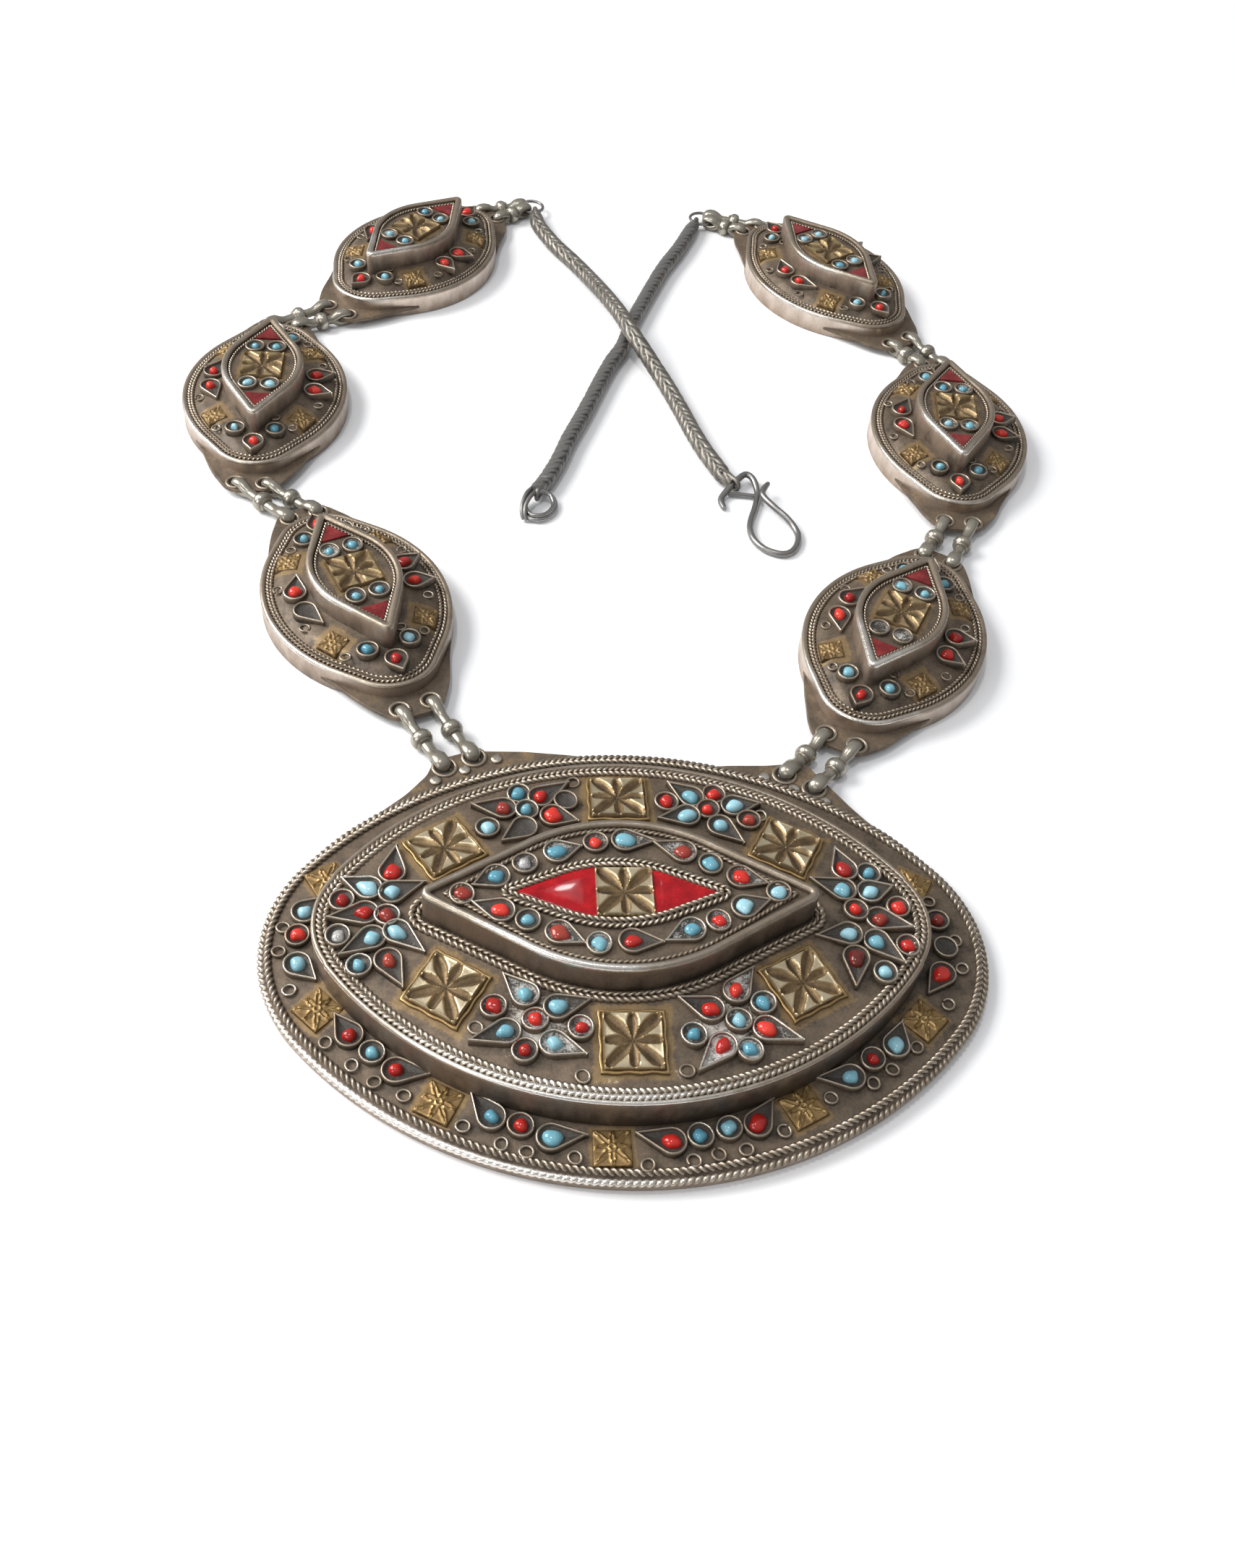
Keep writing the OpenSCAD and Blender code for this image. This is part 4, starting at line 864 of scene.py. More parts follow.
def upright_loop(a, b, rise, pinch):
    """Points of a long wire loop that stands upright between a and b in plan, pressed together
    between its rounded ends, and its direction in plan."""
    a, b = np.array(a), np.array(b)
    length = np.linalg.norm(b - a)
    way = (b - a) / length
    half = length / 2 - rise
    turn = np.linspace(math.pi / 2, -math.pi / 2, 11)
    run = half * np.linspace(1, -1, 14)[1:-1]
    straight = np.column_stack([run, np.full(len(run), -rise)])
    along, up = np.vstack([around(half, 0, rise, turn), straight,
                           around(-half, 0, rise, turn + math.pi), -straight]).T
    close = np.clip((half - 1.0 - np.abs(along)) / 2.0, 0, 1)
    up = up * (1 - (1 - pinch) * close * close * (3 - 2 * close))
    return at_height((a + b) / 2 + along[:, None] * way, MID_Z + up), way


def upright_tube(shape, a, b, rise, radius, sides, wide_a, wide_b, pinch=1.0):
    """A loop of wire through the holes a and b, wider sideways over them than in them."""
    path, way = upright_loop(a, b, rise, pinch)
    side = np.array([-way[1], way[0], 0.0])
    up = np.cross(side, directions(path, True))
    high = np.clip((path[:, 2] - MID_Z) / rise, 0, 1)
    near_b = (path - path.mean(0))[:, :2] @ way > 0
    wide = np.where(near_b, wide_b, wide_a)
    broad = radius * (1 + (wide - 1) * np.clip(0.25 + high ** 0.8, 0, 1))
    g = angles(sides)[:, None]
    points = path[:, None] + (np.cos(g) * broad[:, None, None] * side
                              + radius * np.sin(g) * up[:, None])
    shape.add(points, grid(len(path), sides, wrap_rows=True), wear=0.4)


# Materials


class Nodes:
    """A node tree, with short ways to add nodes."""

    def __init__(self, tree):
        self.tree = tree
        tree.nodes.clear()

    def feed(self, socket, value):
        """Links a socket to another one, or gives it a number, a colour or a vector."""
        if isinstance(value, bpy.types.NodeSocket):
            self.tree.links.new(value, socket)
        else:
            socket.default_value = (*value, 1) if socket.type == "RGBA" else value

    def node(self, kind, inputs, **settings):
        """Adds a shader node, with its own settings, and feeds the named or numbered inputs."""
        node = self.tree.nodes.new("ShaderNode" + kind)
        for name, value in settings.items():
            setattr(node, name, value)
        for key, value in inputs.items():
            self.feed(node.inputs[key], value)
        return node

    def ramp(self, fac, *stops):
        node = self.node("ValToRGB", {0: fac})
        for i, (at, colour) in enumerate(stops):
            stop = node.color_ramp.elements[i] if i < 2 else node.color_ramp.elements.new(at)
            stop.position = at
            stop.color = (*colour, 1)
        return node.outputs[0]


class Look(Nodes):
    """A material's node tree, with short ways to vary its shader over a piece."""

    def __init__(self, name):
        self.material = bpy.data.materials.new(name)
        self.material.use_nodes = True
        super().__init__(self.material.node_tree)
        self.shader = self.node("BsdfPrincipled", {})
        self.node("OutputMaterial", {0: self.shader.outputs[0]})
        self.coords = self.node("TexCoord", {}).outputs["Object"]

    def set(self, **values):
        """Feeds the shader's sockets, whose names have underscores here for spaces."""
        for name, value in values.items():
            self.feed(self.shader.inputs[name.replace("_", " ")], value)

    def noise(self, scale, detail, rough=0.55, stretch=None):
        source = self.coords
        if stretch:
            source = self.node("Mapping", {"Vector": source, "Scale": stretch}).outputs[0]
        return self.node("TexNoise", {"Vector": source, "Scale": scale, "Detail": detail,
                                      "Roughness": rough}).outputs["Fac"]

    def value(self, name):
        return self.node("Attribute", {}, attribute_name=name).outputs["Fac"]

    def calc(self, kind, a, b):
        return self.node("Math", {0: a, 1: b}, operation=kind).outputs[0]

    def wobble(self, base, *parts):
        """base plus each noise, centred, times its amount."""
        for noise, amount in parts:
            centred = self.calc("SUBTRACT", noise, 0.5)
            base = self.calc("ADD", base, self.calc("MULTIPLY", centred, amount))
        return base

    def span(self, fac, low, high, to_low=0.0, to_high=1.0):
        return self.node("MapRange", {"Value": fac, "From Min": low, "From Max": high,
                                      "To Min": to_low, "To Max": to_high}).outputs[0]

    def mix(self, fac, a, b):
        return self.node("Mix", {0: fac, 6: a, 7: b}, data_type="RGBA").outputs[2]

    def bump(self, height, distance):
        node = self.node("Bump", {"Height": height, "Distance": distance * MM, "Strength": 1.0})
        self.set(Normal=node.outputs[0])


def silver(name, *colours, middle=0.6, rough=(0.55, 0.27), blotch=0.45, fine=0.3, bump=0.05,
           stretch=None):
    """Tarnished silver: dark in the hollows, bright where it is worn or carries painted highlight,
    darker where painted shade lies, with gilding and pale dirt where the piece says so. middle
    is the value of the third of the colours on that scale."""
    look = Look(name)
    big = look.noise(300, 4, 0.6, stretch)
    small = look.noise(1900, 4, 0.65)
    f = look.wobble(look.value("wear"), (big, blotch), (small, fine))
    metal = look.ramp(f, *zip((0.0, 0.3, middle, 0.95), colours))
    gilt = look.ramp(f, (0.0, (0.09, 0.055, 0.025)), (0.45, (0.34, 0.235, 0.115)),
                     (0.9, (0.60, 0.49, 0.30)))
    gold = look.span(look.wobble(look.value("gold"), (big, 0.9), (small, 0.6)), 0.42, 0.62)
    pale = look.span(look.wobble(look.value("pale"), (big, 0.8), (small, 0.9)), 0.5, 0.72, 0, 0.85)
    clean = look.calc("SUBTRACT", 1, pale)
    look.set(Base_Color=look.mix(pale, look.mix(gold, metal, gilt), (0.56, 0.53, 0.48)),
             Metallic=look.calc("MULTIPLY", look.span(f, 0.1, 0.6, 0.3, 1.0), clean),
             Roughness=look.calc("MAXIMUM", look.span(f, 0.15, 0.85, *rough),
                                 look.calc("MULTIPLY", pale, 0.8)))
    look.bump(look.wobble(small, (big, 0.6)), bump)
    return look.material


def gilding():
    look = Look("worn_gilding")
    big, small = look.noise(420, 4), look.noise(2200, 4, 0.65)
    f = look.wobble(look.value("wear"), (big, 0.4), (small, 0.25))
    pale = look.ramp(f, (0.0, (0.07, 0.045, 0.022)), (0.25, (0.235, 0.158, 0.078)),
                     (0.5, (0.38, 0.285, 0.155)), (0.9, (0.56, 0.475, 0.325)))
    rich = look.ramp(f, (0.0, (0.06, 0.035, 0.014)), (0.25, (0.25, 0.158, 0.06)),
                     (0.5, (0.42, 0.275, 0.11)), (0.9, (0.66, 0.49, 0.25)))
    look.set(Base_Color=look.mix(look.value("gold"), pale, rich),
             Metallic=look.span(f, 0.0, 0.5, 0.6, 0.9), Roughness=look.span(f, 0.1, 0.8, 0.5, 0.36))
    look.bump(look.wobble(small, (big, 0.8)), 0.03)
    return look.material


def cement():
    """The dark filling of the cells, in places with pale powder on it."""
    look = Look("dark_cement")
    big, small = look.noise(600, 4), look.noise(3200, 4, 0.7)
    pale = look.span(look.wobble(look.value("pale"), (big, 0.8), (small, 0.8)), 0.45, 0.7)
    dark = look.ramp(small, (0.3, (0.012, 0.01, 0.008)), (0.7, (0.06, 0.048, 0.036)))
    look.set(Base_Color=look.mix(pale, dark, (0.50, 0.48, 0.45)),
             Roughness=look.span(pale, 0, 1, 0.55, 0.9))
    look.bump(look.wobble(small, (big, 1.0)), 0.08)
    return look.material


def cabochon(name, deep, main, light):
    """A small glossy stone: each one has its own tint."""
    look = Look(name)
    big, small = look.noise(700, 3), look.noise(4000, 3)
    f = look.wobble(look.value("wear"), (big, 0.6), (small, 0.25))
    look.set(Base_Color=look.ramp(f, (0.05, deep), (0.5, main), (0.95, light)),
             Roughness=look.span(small, 0.3, 0.7, 0.1, 0.2), Specular_IOR_Level=0.3,
             Coat_Weight=0.3, Coat_Roughness=0.04)
    look.bump(look.wobble(big, (small, 0.1)), 0.014)
    return look.material


def red_leaf(name, deep, main, light):
    look = Look(name)
    big, small = look.noise(350, 3), look.noise(2500, 4, 0.7)
    f = look.wobble(big, (small, 0.5))
    look.set(Base_Color=look.ramp(f, (0.25, deep), (0.5, main), (0.75, light)), Roughness=0.14,
             Specular_IOR_Level=0.15, Coat_Weight=0.2, Coat_Roughness=0.04)
    look.bump(big, 0.05)
    return look.material


def clear_stone():
    look = Look("clear_stone")
    small = look.noise(3000, 4, 0.7)
    f = look.wobble(look.noise(800, 3), (small, 0.7))
    look.set(Base_Color=look.ramp(f, (0.3, (0.16, 0.15, 0.14)), (0.55, (0.42, 0.41, 0.4)),
                                  (0.8, (0.75, 0.75, 0.74))),
             Roughness=0.16, Coat_Weight=1.0, Coat_Roughness=0.04)
    look.bump(small, 0.05)
    return look.material


# The colours of each silver go from the hollows to the parts worn bright or given painted highlight
OXIDE = silver("oxidised_silver", (0.028, 0.02, 0.012), (0.175, 0.13, 0.09), (0.37, 0.315, 0.25),
               (0.72, 0.68, 0.62), middle=0.62, blotch=0.55)
WALL = silver("brown_wall", (0.05, 0.036, 0.025), (0.22, 0.16, 0.115), (0.40, 0.32, 0.25),
              (0.66, 0.59, 0.52), rough=(0.45, 0.26), blotch=0.6, fine=0.16, bump=0.02,
              stretch=(1, 1, 0.5))
# A paler copy of the wall colours, for the plaques' walls
PALE_WALL = silver("pale_wall", (0.07, 0.05, 0.036), (0.30, 0.23, 0.175), (0.56, 0.475, 0.405),
                (0.80, 0.75, 0.69), rough=(0.45, 0.26), blotch=0.7, fine=0.14, bump=0.02,
                stretch=(1, 1, 0.5))
WIRE = silver("link_wire", (0.05, 0.042, 0.032), (0.215, 0.193, 0.155), (0.425, 0.40, 0.34),
              (0.70, 0.67, 0.60), rough=(0.32, 0.23), blotch=0.42, fine=0.06, bump=0.005)
STEEL = silver("dark_wire", (0.03, 0.03, 0.03), (0.13, 0.125, 0.12), (0.28, 0.27, 0.26),
               (0.55, 0.54, 0.53), rough=(0.42, 0.24), blotch=0.4, fine=0.2, bump=0.015)
WOVEN = {
    "left": silver("woven_wire", (0.026, 0.023, 0.019), (0.135, 0.123, 0.105), (0.29, 0.27, 0.24),
                   (0.58, 0.54, 0.49), middle=0.62, rough=(0.5, 0.34), blotch=0.4, bump=0.03),
    "right": silver("dark_woven_wire", (0.015, 0.014, 0.013), (0.135, 0.128, 0.12),
                    (0.29, 0.28, 0.265), (0.50, 0.48, 0.46), middle=0.62, rough=(0.5, 0.34),
                    blotch=0.4, bump=0.03),
}
GILT = gilding()
CEMENT = cement()
SLOTS = {"T": "turquoise", "C": "coral", "G": "garnet"}
STONE_LOOKS = {
    "T": cabochon("turquoise_stone", (0.08, 0.25, 0.33), (0.165, 0.37, 0.44), (0.30, 0.52, 0.59)),
    "C": cabochon("coral_stone", (0.28, 0.013, 0.010), (0.50, 0.021, 0.014), (0.60, 0.04, 0.026)),
    "G": cabochon("dark_red_stone", (0.08, 0.013, 0.009), (0.21, 0.024, 0.016),
                  (0.34, 0.05, 0.03)),
}
RED_LEAF = red_leaf("red_glass", (0.19, 0.004, 0.007), (0.30, 0.006, 0.010), (0.42, 0.010, 0.012))
DARK_LEAF = red_leaf("dark_red_glass", (0.075, 0.007, 0.008), (0.145, 0.015, 0.015),
                     (0.22, 0.034, 0.033))
CLEAR = clear_stone()

# Pendant

UPPER_STONES = LEFT_STONES + RIGHT_STONES + TOP_STONES + BOTTOM_STONES
PENDANT_STONES = UPPER_STONES + EDGE_STONES
# The normal of a level seat
LEVEL = (0, 0, 1)


def powder(x, y):
    """Pale powder on the upper field, in a few places among its stones."""
    best = 0.0
    for middle_x, middle_y, reach, much in POWDER:
        near = 1.25 - np.hypot(x - middle_x, y - middle_y) / reach
        best = np.maximum(best, much * np.clip(near, 0, 1))
    return best


def low_box(shape):
    back(shape, outline(PENDANT_LOW, 0.7, 240, LOW_AT))
    walls(shape, PENDANT_LOW, LOW_WALL, 420, LOW_AT, slot=1)
    ring_field(shape, polar(PENDANT_LOW, 2.5, 480, LOW_AT), polar(PENDANT_UP, 0.1, 480, UP_AT),
               lambda x, y, k: 3.1 + 0.5 * np.clip((k - 0.05) / 0.9, 0, 1), 14, 0.205,
               PENDANT_STONES, gold=near_squares(SMALL_SQUARES, 2.7, 1.6))


def upper_box(shape):
    # Painted shade on the walls towards the right
    walls(shape, PENDANT_UP, UPPER_WALL, 420, UP_AT, slot=1, bright=shade)
    ring_field(shape, polar(PENDANT_UP, 0.8, 480, UP_AT), polar(PENDANT_EYE, 0.2, 480),
               lambda x, y, k: UPPER.z(x, y) - 0.35 * np.clip(1 - k * 12, 0, 1), 40, 0.215,
               PENDANT_STONES, gold=near_squares(SQUARES, 5.1, 1.9), pale=powder)


def eye_box(shape):
    # Painted shade on the eye's walls towards the right, and painted highlight on the near-left side of
    # its rim, with some real wear
    walls(shape, PENDANT_EYE, EYE_WALL, 360, slot=1, bright=shade)
    walls(shape, PENDANT_EYE, EYE_RIM, 360, bright=near_left_sheen(0.7))
    edge = polar(PENDANT_EYE, 1.3, 300)
    ring_field(shape, edge, edge * 0.02, lambda x, y, k: EYE_FLOOR, 20, 0.19, PENDANT_STONES, pale=0.25)


def pendant_shell():
    shape = Shape()
    low_box(shape)
    upper_box(shape)
    eye_box(shape)
    for edge, holes in ((EAR_L, EAR_L_HOLES), (EAR_R, EAR_R_HOLES)):
        plate(shape, edge, holes, corner=0.9, wave=0.0, wear=0.2, gold=0.4)
    shape.build("pendant_shell", [OXIDE, WALL], "silver", "pendant_body")


def climb(x, y):
    """How high the outer rope lies: it climbs on to the plates of the link holes."""
    return 2.1 + 0.65 * np.clip((y - 16) / 6, 0, 1)


def pendant_ropes():
    shape = Shape()
    # Painted highlight on the near-left side of the outer ropes, where the window light reflects, with
    # some real wear
    rope(shape, at_height(outline(PENDANT_LOW, 0.8, 900, LOW_AT), climb), 0.74, 1.12, 1,
         bright=near_left_sheen(0.75), flat=0.8, calm=0.12)
    rope(shape, at_height(outline(PENDANT_LOW, 1.85, 900, LOW_AT), 3.1), 0.66, 1.12, -1,
         bright=0.04)
    # The rim wire carries the same painted highlight on its near-left side
    edge = outline(PENDANT_UP, 0.44, 500, UP_AT)
    wear = at_points(near_left_sheen(0.75, -14, 0.45), edge)
    tube(shape, at_height(edge, 9.56), 0.42, wear[:, None], closed=True)
    rope(shape, at_height(outline(PENDANT_UP, 1.32, 900, UP_AT), 9.74), 0.6, 1.0, 1,
         bright=near_left_sheen(0.5, -20), flat=0.78, calm=0.15)
    rope(shape, at_height(outline(PENDANT_UP, 2.28, 900, UP_AT), 9.7), 0.62, 1.0, -1,
         bright=near_left_sheen(0.24, -20, 0.02), calm=0.15)
    shape.build("pendant_edge_ropes", [OXIDE], "silver", "pendant_body", sharp=75)


def eye_ropes():
    shape = Shape()
    for inset, hand, r in ((-0.62, 1, 0.5), (-1.62, -1, 0.6)):
        flat = outline(PENDANT_EYE, inset, 700)
        rope(shape, at_height(flat, UPPER.z(*flat.T) + 0.2), r, 1.1, hand, gold=0.3, calm=0.25)
    rope(shape, at_height(outline(PENDANT_EYE, 1.88, 600), EYE_FLOOR + 0.25), 0.42, 0.9, 1,
         bright=-0.06, calm=0.3, strand=FINE_STRAND)
    for inset, hand in ((-0.35, 1), (0.62, -1)):
        rope(shape, at_height(outline(INNER_EYE, inset, 500, INNER_AT), EYE_FLOOR + 0.36), 0.54, 1.0,
             hand, bright=0.04, calm=0.1)
    shape.build("pendant_eye_ropes", [OXIDE], "silver", "pendant_body", sharp=75)


def pendant_cells():
    shape, paste = Shape(), Shape()
    for row in EYE_STONES:
        bezel(shape, paste, row, EYE_FLOOR, 0.85, 0.2 + 0.3 * rng.rand())
    for rows, base, bright in ((LEFT_STONES, 0.22, 0.06), (RIGHT_STONES, 0.15, 0.0),
                               (TOP_STONES, 0.2, 0.0), (BOTTOM_STONES, 0.46, 0.14)):
        for row in rows:
            bezel(shape, paste, row, UPPER.z(*row[:2]), 1.15, base + spread(0.3), bright)
    for row in EDGE_STONES:
        bezel(shape, paste, row, LOWER_Z, 1.15, 0.2 * rng.rand())
    for x, y in LOW_RINGS:
        wire_ring(shape, x, y, 3.6, cut=0.0 if rng.rand() < 0.7 else 0.25)
    for x, y in UP_RINGS:
        wire_ring(shape, x, y, UPPER.z(x, y) + 0.2, r=1.05)
    for x, y in EAR_L_HOLES + EAR_R_HOLES:
        hole_rim(shape, x, y, 1.98)
    for x, y in EAR_DOTS:
        dot(shape, x, y)
    shape.build("pendant_cells", [OXIDE], "silver", "pendant_body", sharp=60)
    paste.build("pendant_cement", [CEMENT], "silver", "pendant_body")


def pendant_gold():
    shape = Shape()
    for x, y, degrees in SQUARES:
        seat = ((x, y, UPPER.z(x, y)), degrees, UPPER.normal(x, y))
        base_plate(shape, *seat, half=5.05)
        gold_square(shape, *seat, half=4.55, low=0.38, high=1.1)
    gold_square(shape, (0.35, 0.3, EYE_FLOOR - 0.15), 0, LEVEL, half=4.6, low=0.28, high=1.0)
    shape.build("pendant_gold_squares", [GILT], "gilt", "pendant_gilt", "pendant_body", sharp=50)
    shape = Shape()
    for x, y, degrees in SMALL_SQUARES:
        small_gold(shape, (x, y, LOWER_Z), degrees, LEVEL, half=2.95)
    shape.build("pendant_small_squares", [GILT], "gilt", "pendant_body", sharp=50)


def pendant_stones():
    places = [(row, EYE_FLOOR, 0.1, 0.95) for row in EYE_STONES]
    places += [(row, UPPER.z(*row[:2]), 0.25, 1.25) for row in UPPER_STONES]
    places += [(row, LOWER_Z, 0.25, 1.25) for row in EDGE_STONES]
    stone_pieces("pendant", "TCG", places)
    shape = Shape()
    for row, floor_z, *_ in places:
        if row[-1] == "W":
            set_stone(shape, row, floor_z + 0.15, 0.9, 1.0)
    shape.build("pendant_clear_stones", [CLEAR], "red_glass", "pendant_glass")


def pendant_leaves():
    shape = Shape()
    for sign, near in ((1, 5.3), (-1, 2.9)):
        leaf(shape, sign, outline(INNER_EYE, 1.0, 600), near, INNER_AT, EYE_FLOOR + 0.42)
    shape.build("pendant_red_leaves", [RED_LEAF], "red_glass", "pendant_glass")


# Plaques


def plaque_height(u, v, k):
    """The field of a plaque, which starts level inside its rim."""
    start = 4.75
    soft = np.clip(k * 3.2, 0, 1)
    return start + (PLAQUE_FIELD.z(u, v) - start) * soft * (2 - soft)


def plaque_shell(name):
    shape = Shape(PLAQUES[name])
    # Painted highlight on the near-left side of the rims, with some real wear; some plaques' walls get
    # painted shade
    worn_and_lit = near_left_sheen(0.42, PLAQUES[name][2])
    back(shape, outline(PLAQUE, 0.4, 160))
    walls(shape, PLAQUE, PLAQUE_WALL, 240, slot=1, bright=WALL_SHADE.get(name, 0.0))
    walls(shape, PLAQUE, PLAQUE_RIM, 240, bright=worn_and_lit)
    ring_field(shape, polar(PLAQUE, 2.5, 240), polar(PLAQUE_EYE, 0.2, 240), plaque_height, 20, 0.2,
               PLAQUE_STONES, gold=near_squares(PLAQUE_SQUARES, 2.5, 1.6), pale=0.2)
    walls(shape, PLAQUE_EYE, PLAQUE_EYE_WALL, 200, slot=1)
    walls(shape, PLAQUE_EYE, PLAQUE_EYE_RIM, 200, bright=worn_and_lit)
    edge = polar(PLAQUE_EYE, 1.0, 160)
    ring_field(shape, edge, edge * 0.02, lambda u, v, k: PLAQUE_EYE_FLOOR, 12, 0.16, PLAQUE_STONES,
               gold=near_squares([(0, 0, 0)], 4.4, 1.5), pale=0.2)
    for end in (1, -1):
        holes = [(end * EAR_HOLE[0], side * EAR_HOLE[1]) for side in (1, -1)]
        plate(shape, np.array(PLAQUE_EAR) * (end, 1), holes, corner=1.3, wave=0.12, wear=0.19,
              gold=0.3)
    shape.build(f"plaque_{name}_shell", [OXIDE, PALE_WALL], "silver", f"plaque_{name}_body")


def plaque_ropes(name):
    shape = Shape(PLAQUES[name])
    for inset, hand in ((1.5, 1), (2.25, -1)):
        rope(shape, at_height(outline(PLAQUE, inset, 500), 4.84), 0.42, 0.9, hand, calm=0.1,
             strand=FINE_STRAND)
    rope(shape, at_height(outline(PLAQUE_EYE, 1.66, 300), PLAQUE_EYE_FLOOR + 0.25), 0.36, 0.8, 1,
         bright=0.04, strand=FINE_STRAND)
    shape.build(f"plaque_{name}_ropes", [OXIDE], "silver", f"plaque_{name}_body", sharp=75)


def plaque_cells(name):
    shape, paste = Shape(PLAQUES[name]), Shape(PLAQUES[name])
    for row in PLAQUE_STONES:
        bezel(shape, paste, row, PLAQUE_FIELD.z(*row[:2]), 1.1, 0.3 * rng.rand())
    for row in PLAQUE_EYE_STONES:
        bezel(shape, paste, row, PLAQUE_EYE_FLOOR, 0.9, 0.15 + 0.45 * rng.rand())
    for u, v in PLAQUE_RINGS:
        u, v = u + spread(1), v + spread(1)
        wire_ring(shape, u, v, PLAQUE_FIELD.z(u, v) + 0.15, r=0.9, wire=0.22,
                  cut=0.0 if rng.rand() < 0.6 else 0.3)
    for end in (1, -1):
        for side in (1, -1):
            hole_rim(shape, end * EAR_HOLE[0], side * EAR_HOLE[1], 1.75)
    shape.build(f"plaque_{name}_cells", [OXIDE], "silver", f"plaque_{name}_body", sharp=60)
    paste.build(f"plaque_{name}_cement", [CEMENT], "silver", f"plaque_{name}_body")


def plaque_gold(name):
    shape = Shape(PLAQUES[name])
    gold_square(shape, (0, 0, PLAQUE_EYE_FLOOR - 0.2), 0, LEVEL, half=4.4, low=0.18, high=1.1,
                cells=36, bright=0.44)
    for u, v, degrees in PLAQUE_SQUARES:
        small_gold(shape, (u, v, PLAQUE_FIELD.z(u, v) - 0.15), degrees, PLAQUE_FIELD.normal(u, v),
                   half=2.3, cells=24, gold=0.45, bright=0.36)
    shape.build(f"plaque_{name}_gold", [GILT], "gilt", f"plaque_{name}_body", sharp=50)


def plaque_stones(name):
    places = [(row, PLAQUE_FIELD.z(*row[:2]), 0.25, 1.2) for row in PLAQUE_STONES]
    places += [(row, PLAQUE_EYE_FLOOR, 0.1, 0.95) for row in PLAQUE_EYE_STONES]
    places = [place for place in places if place[0][:2] not in MISSING.get(name, [])]
    stone_pieces(f"plaque_{name}", "TC", places, 0.84, PLAQUES[name])


def plaque_leaves(name):
    shape = Shape(PLAQUES[name])
    for sign in (1, -1):
        leaf(shape, sign, outline(PLAQUE_EYE, 2.0, 400), 9.9, (0, 0), PLAQUE_EYE_FLOOR + 0.3)
    shape.build(f"plaque_{name}_red_leaves", [DARK_LEAF], "red_glass", f"plaque_{name}_glass")


# Links, chains, hook and rings


def plaque_hole(name, end, side):
    """Where a plaque's link hole lies: end is 1 towards the pendant, side is 1 or -1."""
    x, y, degrees = PLAQUES[name]
    a = math.radians(degrees)
    u, v = end * EAR_HOLE[0], side * EAR_HOLE[1]
    return x + u * math.cos(a) - v * math.sin(a), y + u * math.sin(a) + v * math.cos(a)


def link_holes(chain_side, number, i):
    """Where the two ends of a link lie. i is 0 or 1, for the two links side by side."""
    side = 1 - 2 * i
    if number == 1:
        return plaque_hole(f"{chain_side}1", -1, side), TOP_ENDS[chain_side][i]
    first = plaque_hole(f"{chain_side}{number - 1}", 1, side)
    if number == 4:
        return first, EAR_ENDS[chain_side][i]
    return first, plaque_hole(f"{chain_side}{number}", -1, side)


def link(name, a, b):
    """A long upright loop of wire, with a bead round its middle."""
    shape = Shape()
    upright_tube(shape, a, b, rise=1.12, radius=0.84, sides=16, wide_a=1.45, wide_b=1.75, pinch=0.12)
    middle = ((a[0] + b[0]) / 2, (a[1] + b[1]) / 2, MID_Z)
    lathe(shape, middle, (b[0] - a[0], b[1] - a[1], 0), BEAD, 24)
    shape.build(f"link_{name}_wire", [WIRE], "bright_wire", f"link_{name}")


def woven_chain(side, route, end_loops):
    """A round chain woven of loops: four columns of long grains, each slanting the other way
    than its neighbours, so that dark notches lie where two columns meet. It thins out where
    it takes hold of the rings."""
    shape = Shape()
    grain, slant, turn, groove, square = WEAVE[side]
    first, last = CHAIN_ENDS[side]
    path = smooth([first, *route, last], 8)
    total = measured(path, False)[1][-1]
    path = resample(path, int(total / CHAIN_STEP), False)
    at = np.linspace(0, total, len(path))[:, None]
    g = np.radians(np.arange(40) * 9.0)[None, :]
    column = (np.degrees(g) - turn) / 90
    across = 2 * (column % 1) - 1
    hand = np.where(np.floor(column) % 2 > 0, 1, -1)
    drift = 0.45 * np.sin(at / 7.3) + 0.32 * np.sin(at / 3.1 + 1) + 0.13 * np.sin(at * 1.9)
    phase = (at / grain + hand * slant * across + 0.3 * np.floor(column) + drift) % 1
    valley = 1 - np.sqrt(np.clip(1 - (2 * phase ** 0.8 - 1) ** 2, 0, 1))
    meet = np.clip((across * hand - 0.05) / 0.95, 0, 1) ** 1.3
    deep = (groove + (1 - groove) * meet) * valley
    ends = np.clip(np.minimum(at, total - at) / CHAIN_TAPER, 0, 1)
    radius = (CHAIN_RADIUS - square * 1.1) * (1 + square * across ** 2)
    radius = (radius - 0.85 * np.clip(deep, 0, 1)) * (0.62 + 0.38 * ends ** 0.7)
    # Painted highlight: the upper side is made a little brighter than the dark grooves
    wear = 0.4 - 0.55 * np.clip(deep * 1.6, 0, 1) + 0.06 * np.maximum(np.sin(g), 0)
    # Painted highlight on the lip of each grain, most where two columns meet
    wear += 0.22 * (0.2 + meet) * np.exp(-((phase - 0.7) / 0.14) ** 2)
    profile = np.stack([radius * np.cos(g), radius * np.sin(g), wear], 2)
    sweep(shape, path, profile, False, ring=True)
    for a, b in end_loops:
        upright_tube(shape, a, b, rise=1.2, radius=0.45, sides=8, wide_a=1.2, wide_b=1.2)
    if side == "right":
        for tail in CHAIN_TAILS:
            tube(shape, smooth(tail, 6), 0.46, 0.5)
    shape.build(f"chain_{side}_woven", [WOVEN[side]], "silver", f"chain_{side}", sharp=75)


def hook():
    """The bent wire of the hook, thinner at its two ends, and the bar across it."""
    shape = Shape()
    path = smooth(HOOK, 6)
    radius = np.full(len(path), 0.7)
    radius[:5] = np.linspace(0.55, 0.7, 5)
    radius[-5:] = np.linspace(0.7, 0.5, 5)
    tube(shape, path, radius, 0.5, sides=12)
    tube(shape, smooth(HOOK_BAR, 5), 0.5, 0.45)
    shape.build("hook_wire", [STEEL], "silver", "hook")


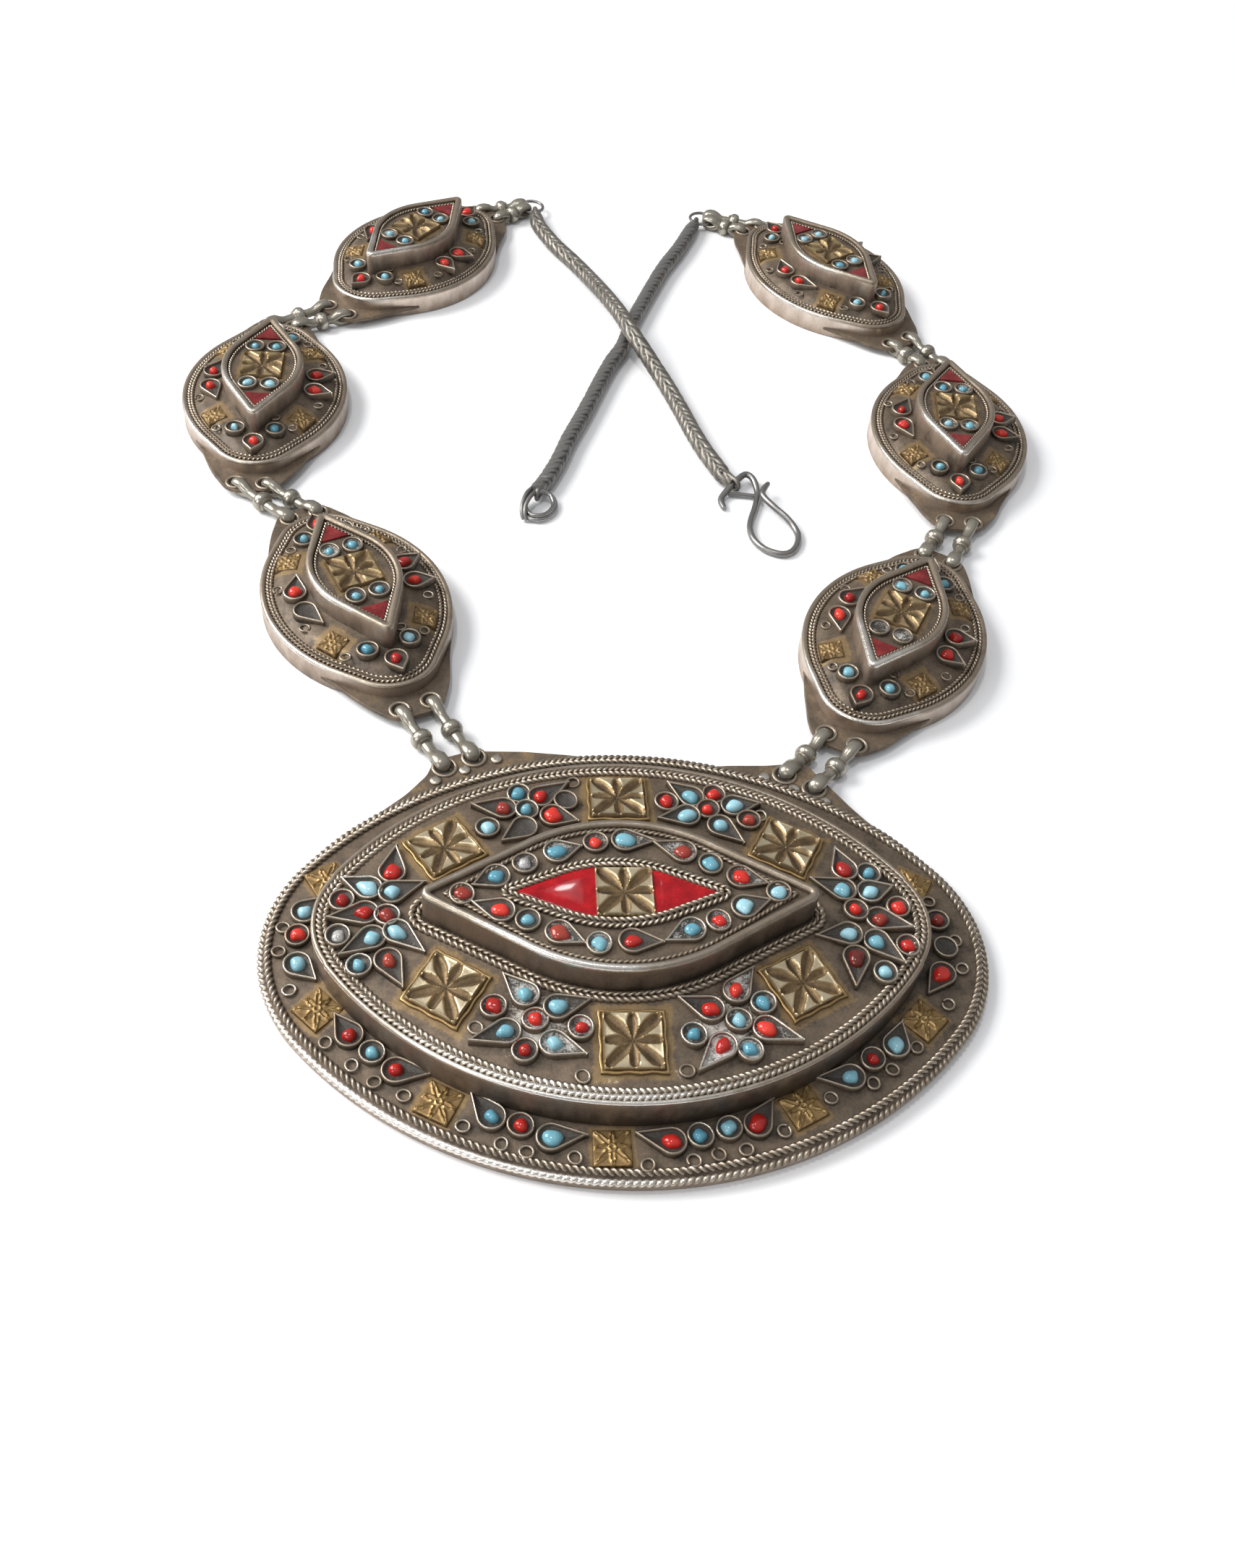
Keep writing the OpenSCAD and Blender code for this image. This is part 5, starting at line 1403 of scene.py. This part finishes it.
def eye_ring():
    """The small ring that the hook takes hold of: two turns of wire, one over the other."""
    shape = Shape()
    path = smooth(EYE_RING, 6, True)
    middle = path.mean(0)
    for reach, z, r in ((1.0, 0.0, 0.48), (0.86, 0.62, 0.46)):
        turn = middle + (path - middle) * (reach, reach, 1) + (0, 0, z)
        turn[:, 2] = np.maximum(turn[:, 2], r)
        tube(shape, turn, r, 0.64, closed=True, sides=12)
    shape.build("eye_ring_wire", [STEEL], "silver", "eye_ring")


def end_ring(side):
    shape = Shape()
    x, y, r = END_RINGS[side]
    tube(shape, circle(x, y, MID_Z, r, 40), 0.39, 0.5, closed=True)
    shape.build(f"end_ring_{side}_wire", [STEEL], "silver", f"end_ring_{side}")


pendant_shell()
pendant_ropes()
eye_ropes()
pendant_cells()
pendant_gold()
pendant_stones()
pendant_leaves()
for plaque_name in PLAQUES:
    plaque_shell(plaque_name)
    plaque_ropes(plaque_name)
    plaque_cells(plaque_name)
    plaque_gold(plaque_name)
    plaque_stones(plaque_name)
    plaque_leaves(plaque_name)
for chain_side in "lr":
    for number in range(1, 5):
        for i, letter in enumerate("ab"):
            link(f"{chain_side}{number}_{letter}", *link_holes(chain_side, number, i))
woven_chain("left", CHAIN_L, CHAIN_L_LOOPS)
woven_chain("right", CHAIN_R, CHAIN_R_LOOPS)
hook()
eye_ring()
end_ring("left")
end_ring("right")

# Floor and light, in metres


def floor():
    mesh = bpy.data.meshes.new("floor")
    r = 3.0
    mesh.from_pydata([(-r, -r, 0), (r, -r, 0), (r, r, 0), (-r, r, 0)], [], [(0, 1, 2, 3)])
    look = Look("white_table")
    look.set(Base_Color=look.ramp(look.noise(6, 2), (0.3, (0.86, 0.865, 0.875)),
                                  (0.7, (0.885, 0.885, 0.89))), Roughness=0.75)
    mesh.materials.append(look.material)
    obj = new_object("floor", mesh)
    # A hair below the undersides that lie on it
    obj.location.z = -0.00002


def area_light(name, at, aim, size, power, colour=(1, 1, 1)):
    data = bpy.data.lights.new(name, "AREA")
    data.shape = "RECTANGLE"
    data.size, data.size_y = size
    data.energy = power
    data.color = colour
    obj = new_object(name, data)
    obj.location = at
    obj.rotation_mode = "QUATERNION"
    obj.rotation_quaternion = (Vector(aim) - Vector(at)).to_track_quat("-Z", "Y")


def sky():
    """A soft grey room, brighter above."""
    world = bpy.data.worlds.new("studio")
    bpy.context.scene.world = world
    world.use_nodes = True
    tree = Nodes(world.node_tree)
    coords = tree.node("TexCoord", {}).outputs["Generated"]
    up = tree.node("SeparateXYZ", {0: coords}).outputs[2]
    colour = tree.ramp(up, (0.0, (0.34, 0.34, 0.35)), (0.45, (0.62, 0.62, 0.63)),
                       (1.0, (0.95, 0.97, 1.0)))
    light = tree.node("Background", {0: colour, 1: 0.66}).outputs[0]
    tree.node("OutputWorld", {0: light})


floor()
sky()
area_light("window", (-0.85, 0.35, 0.7), (0, 0.08, 0), (0.6, 0.65), 17, (1.0, 0.99, 0.975))
area_light("near_panel", (-0.75, -0.6, 0.55), (0, 0.05, 0), (0.5, 0.5), 3.5)
area_light("bulb", (0.062, 0.723, 0.974), (-0.009, 0.002, 0.0167), (0.02, 0.008), 0.07)
area_light("lamp", (-0.25, 0.05, 1.3), (0, 0.08, 0), (0.11, 0.11), 3)
bpy.context.scene.view_settings.view_transform = "Standard"
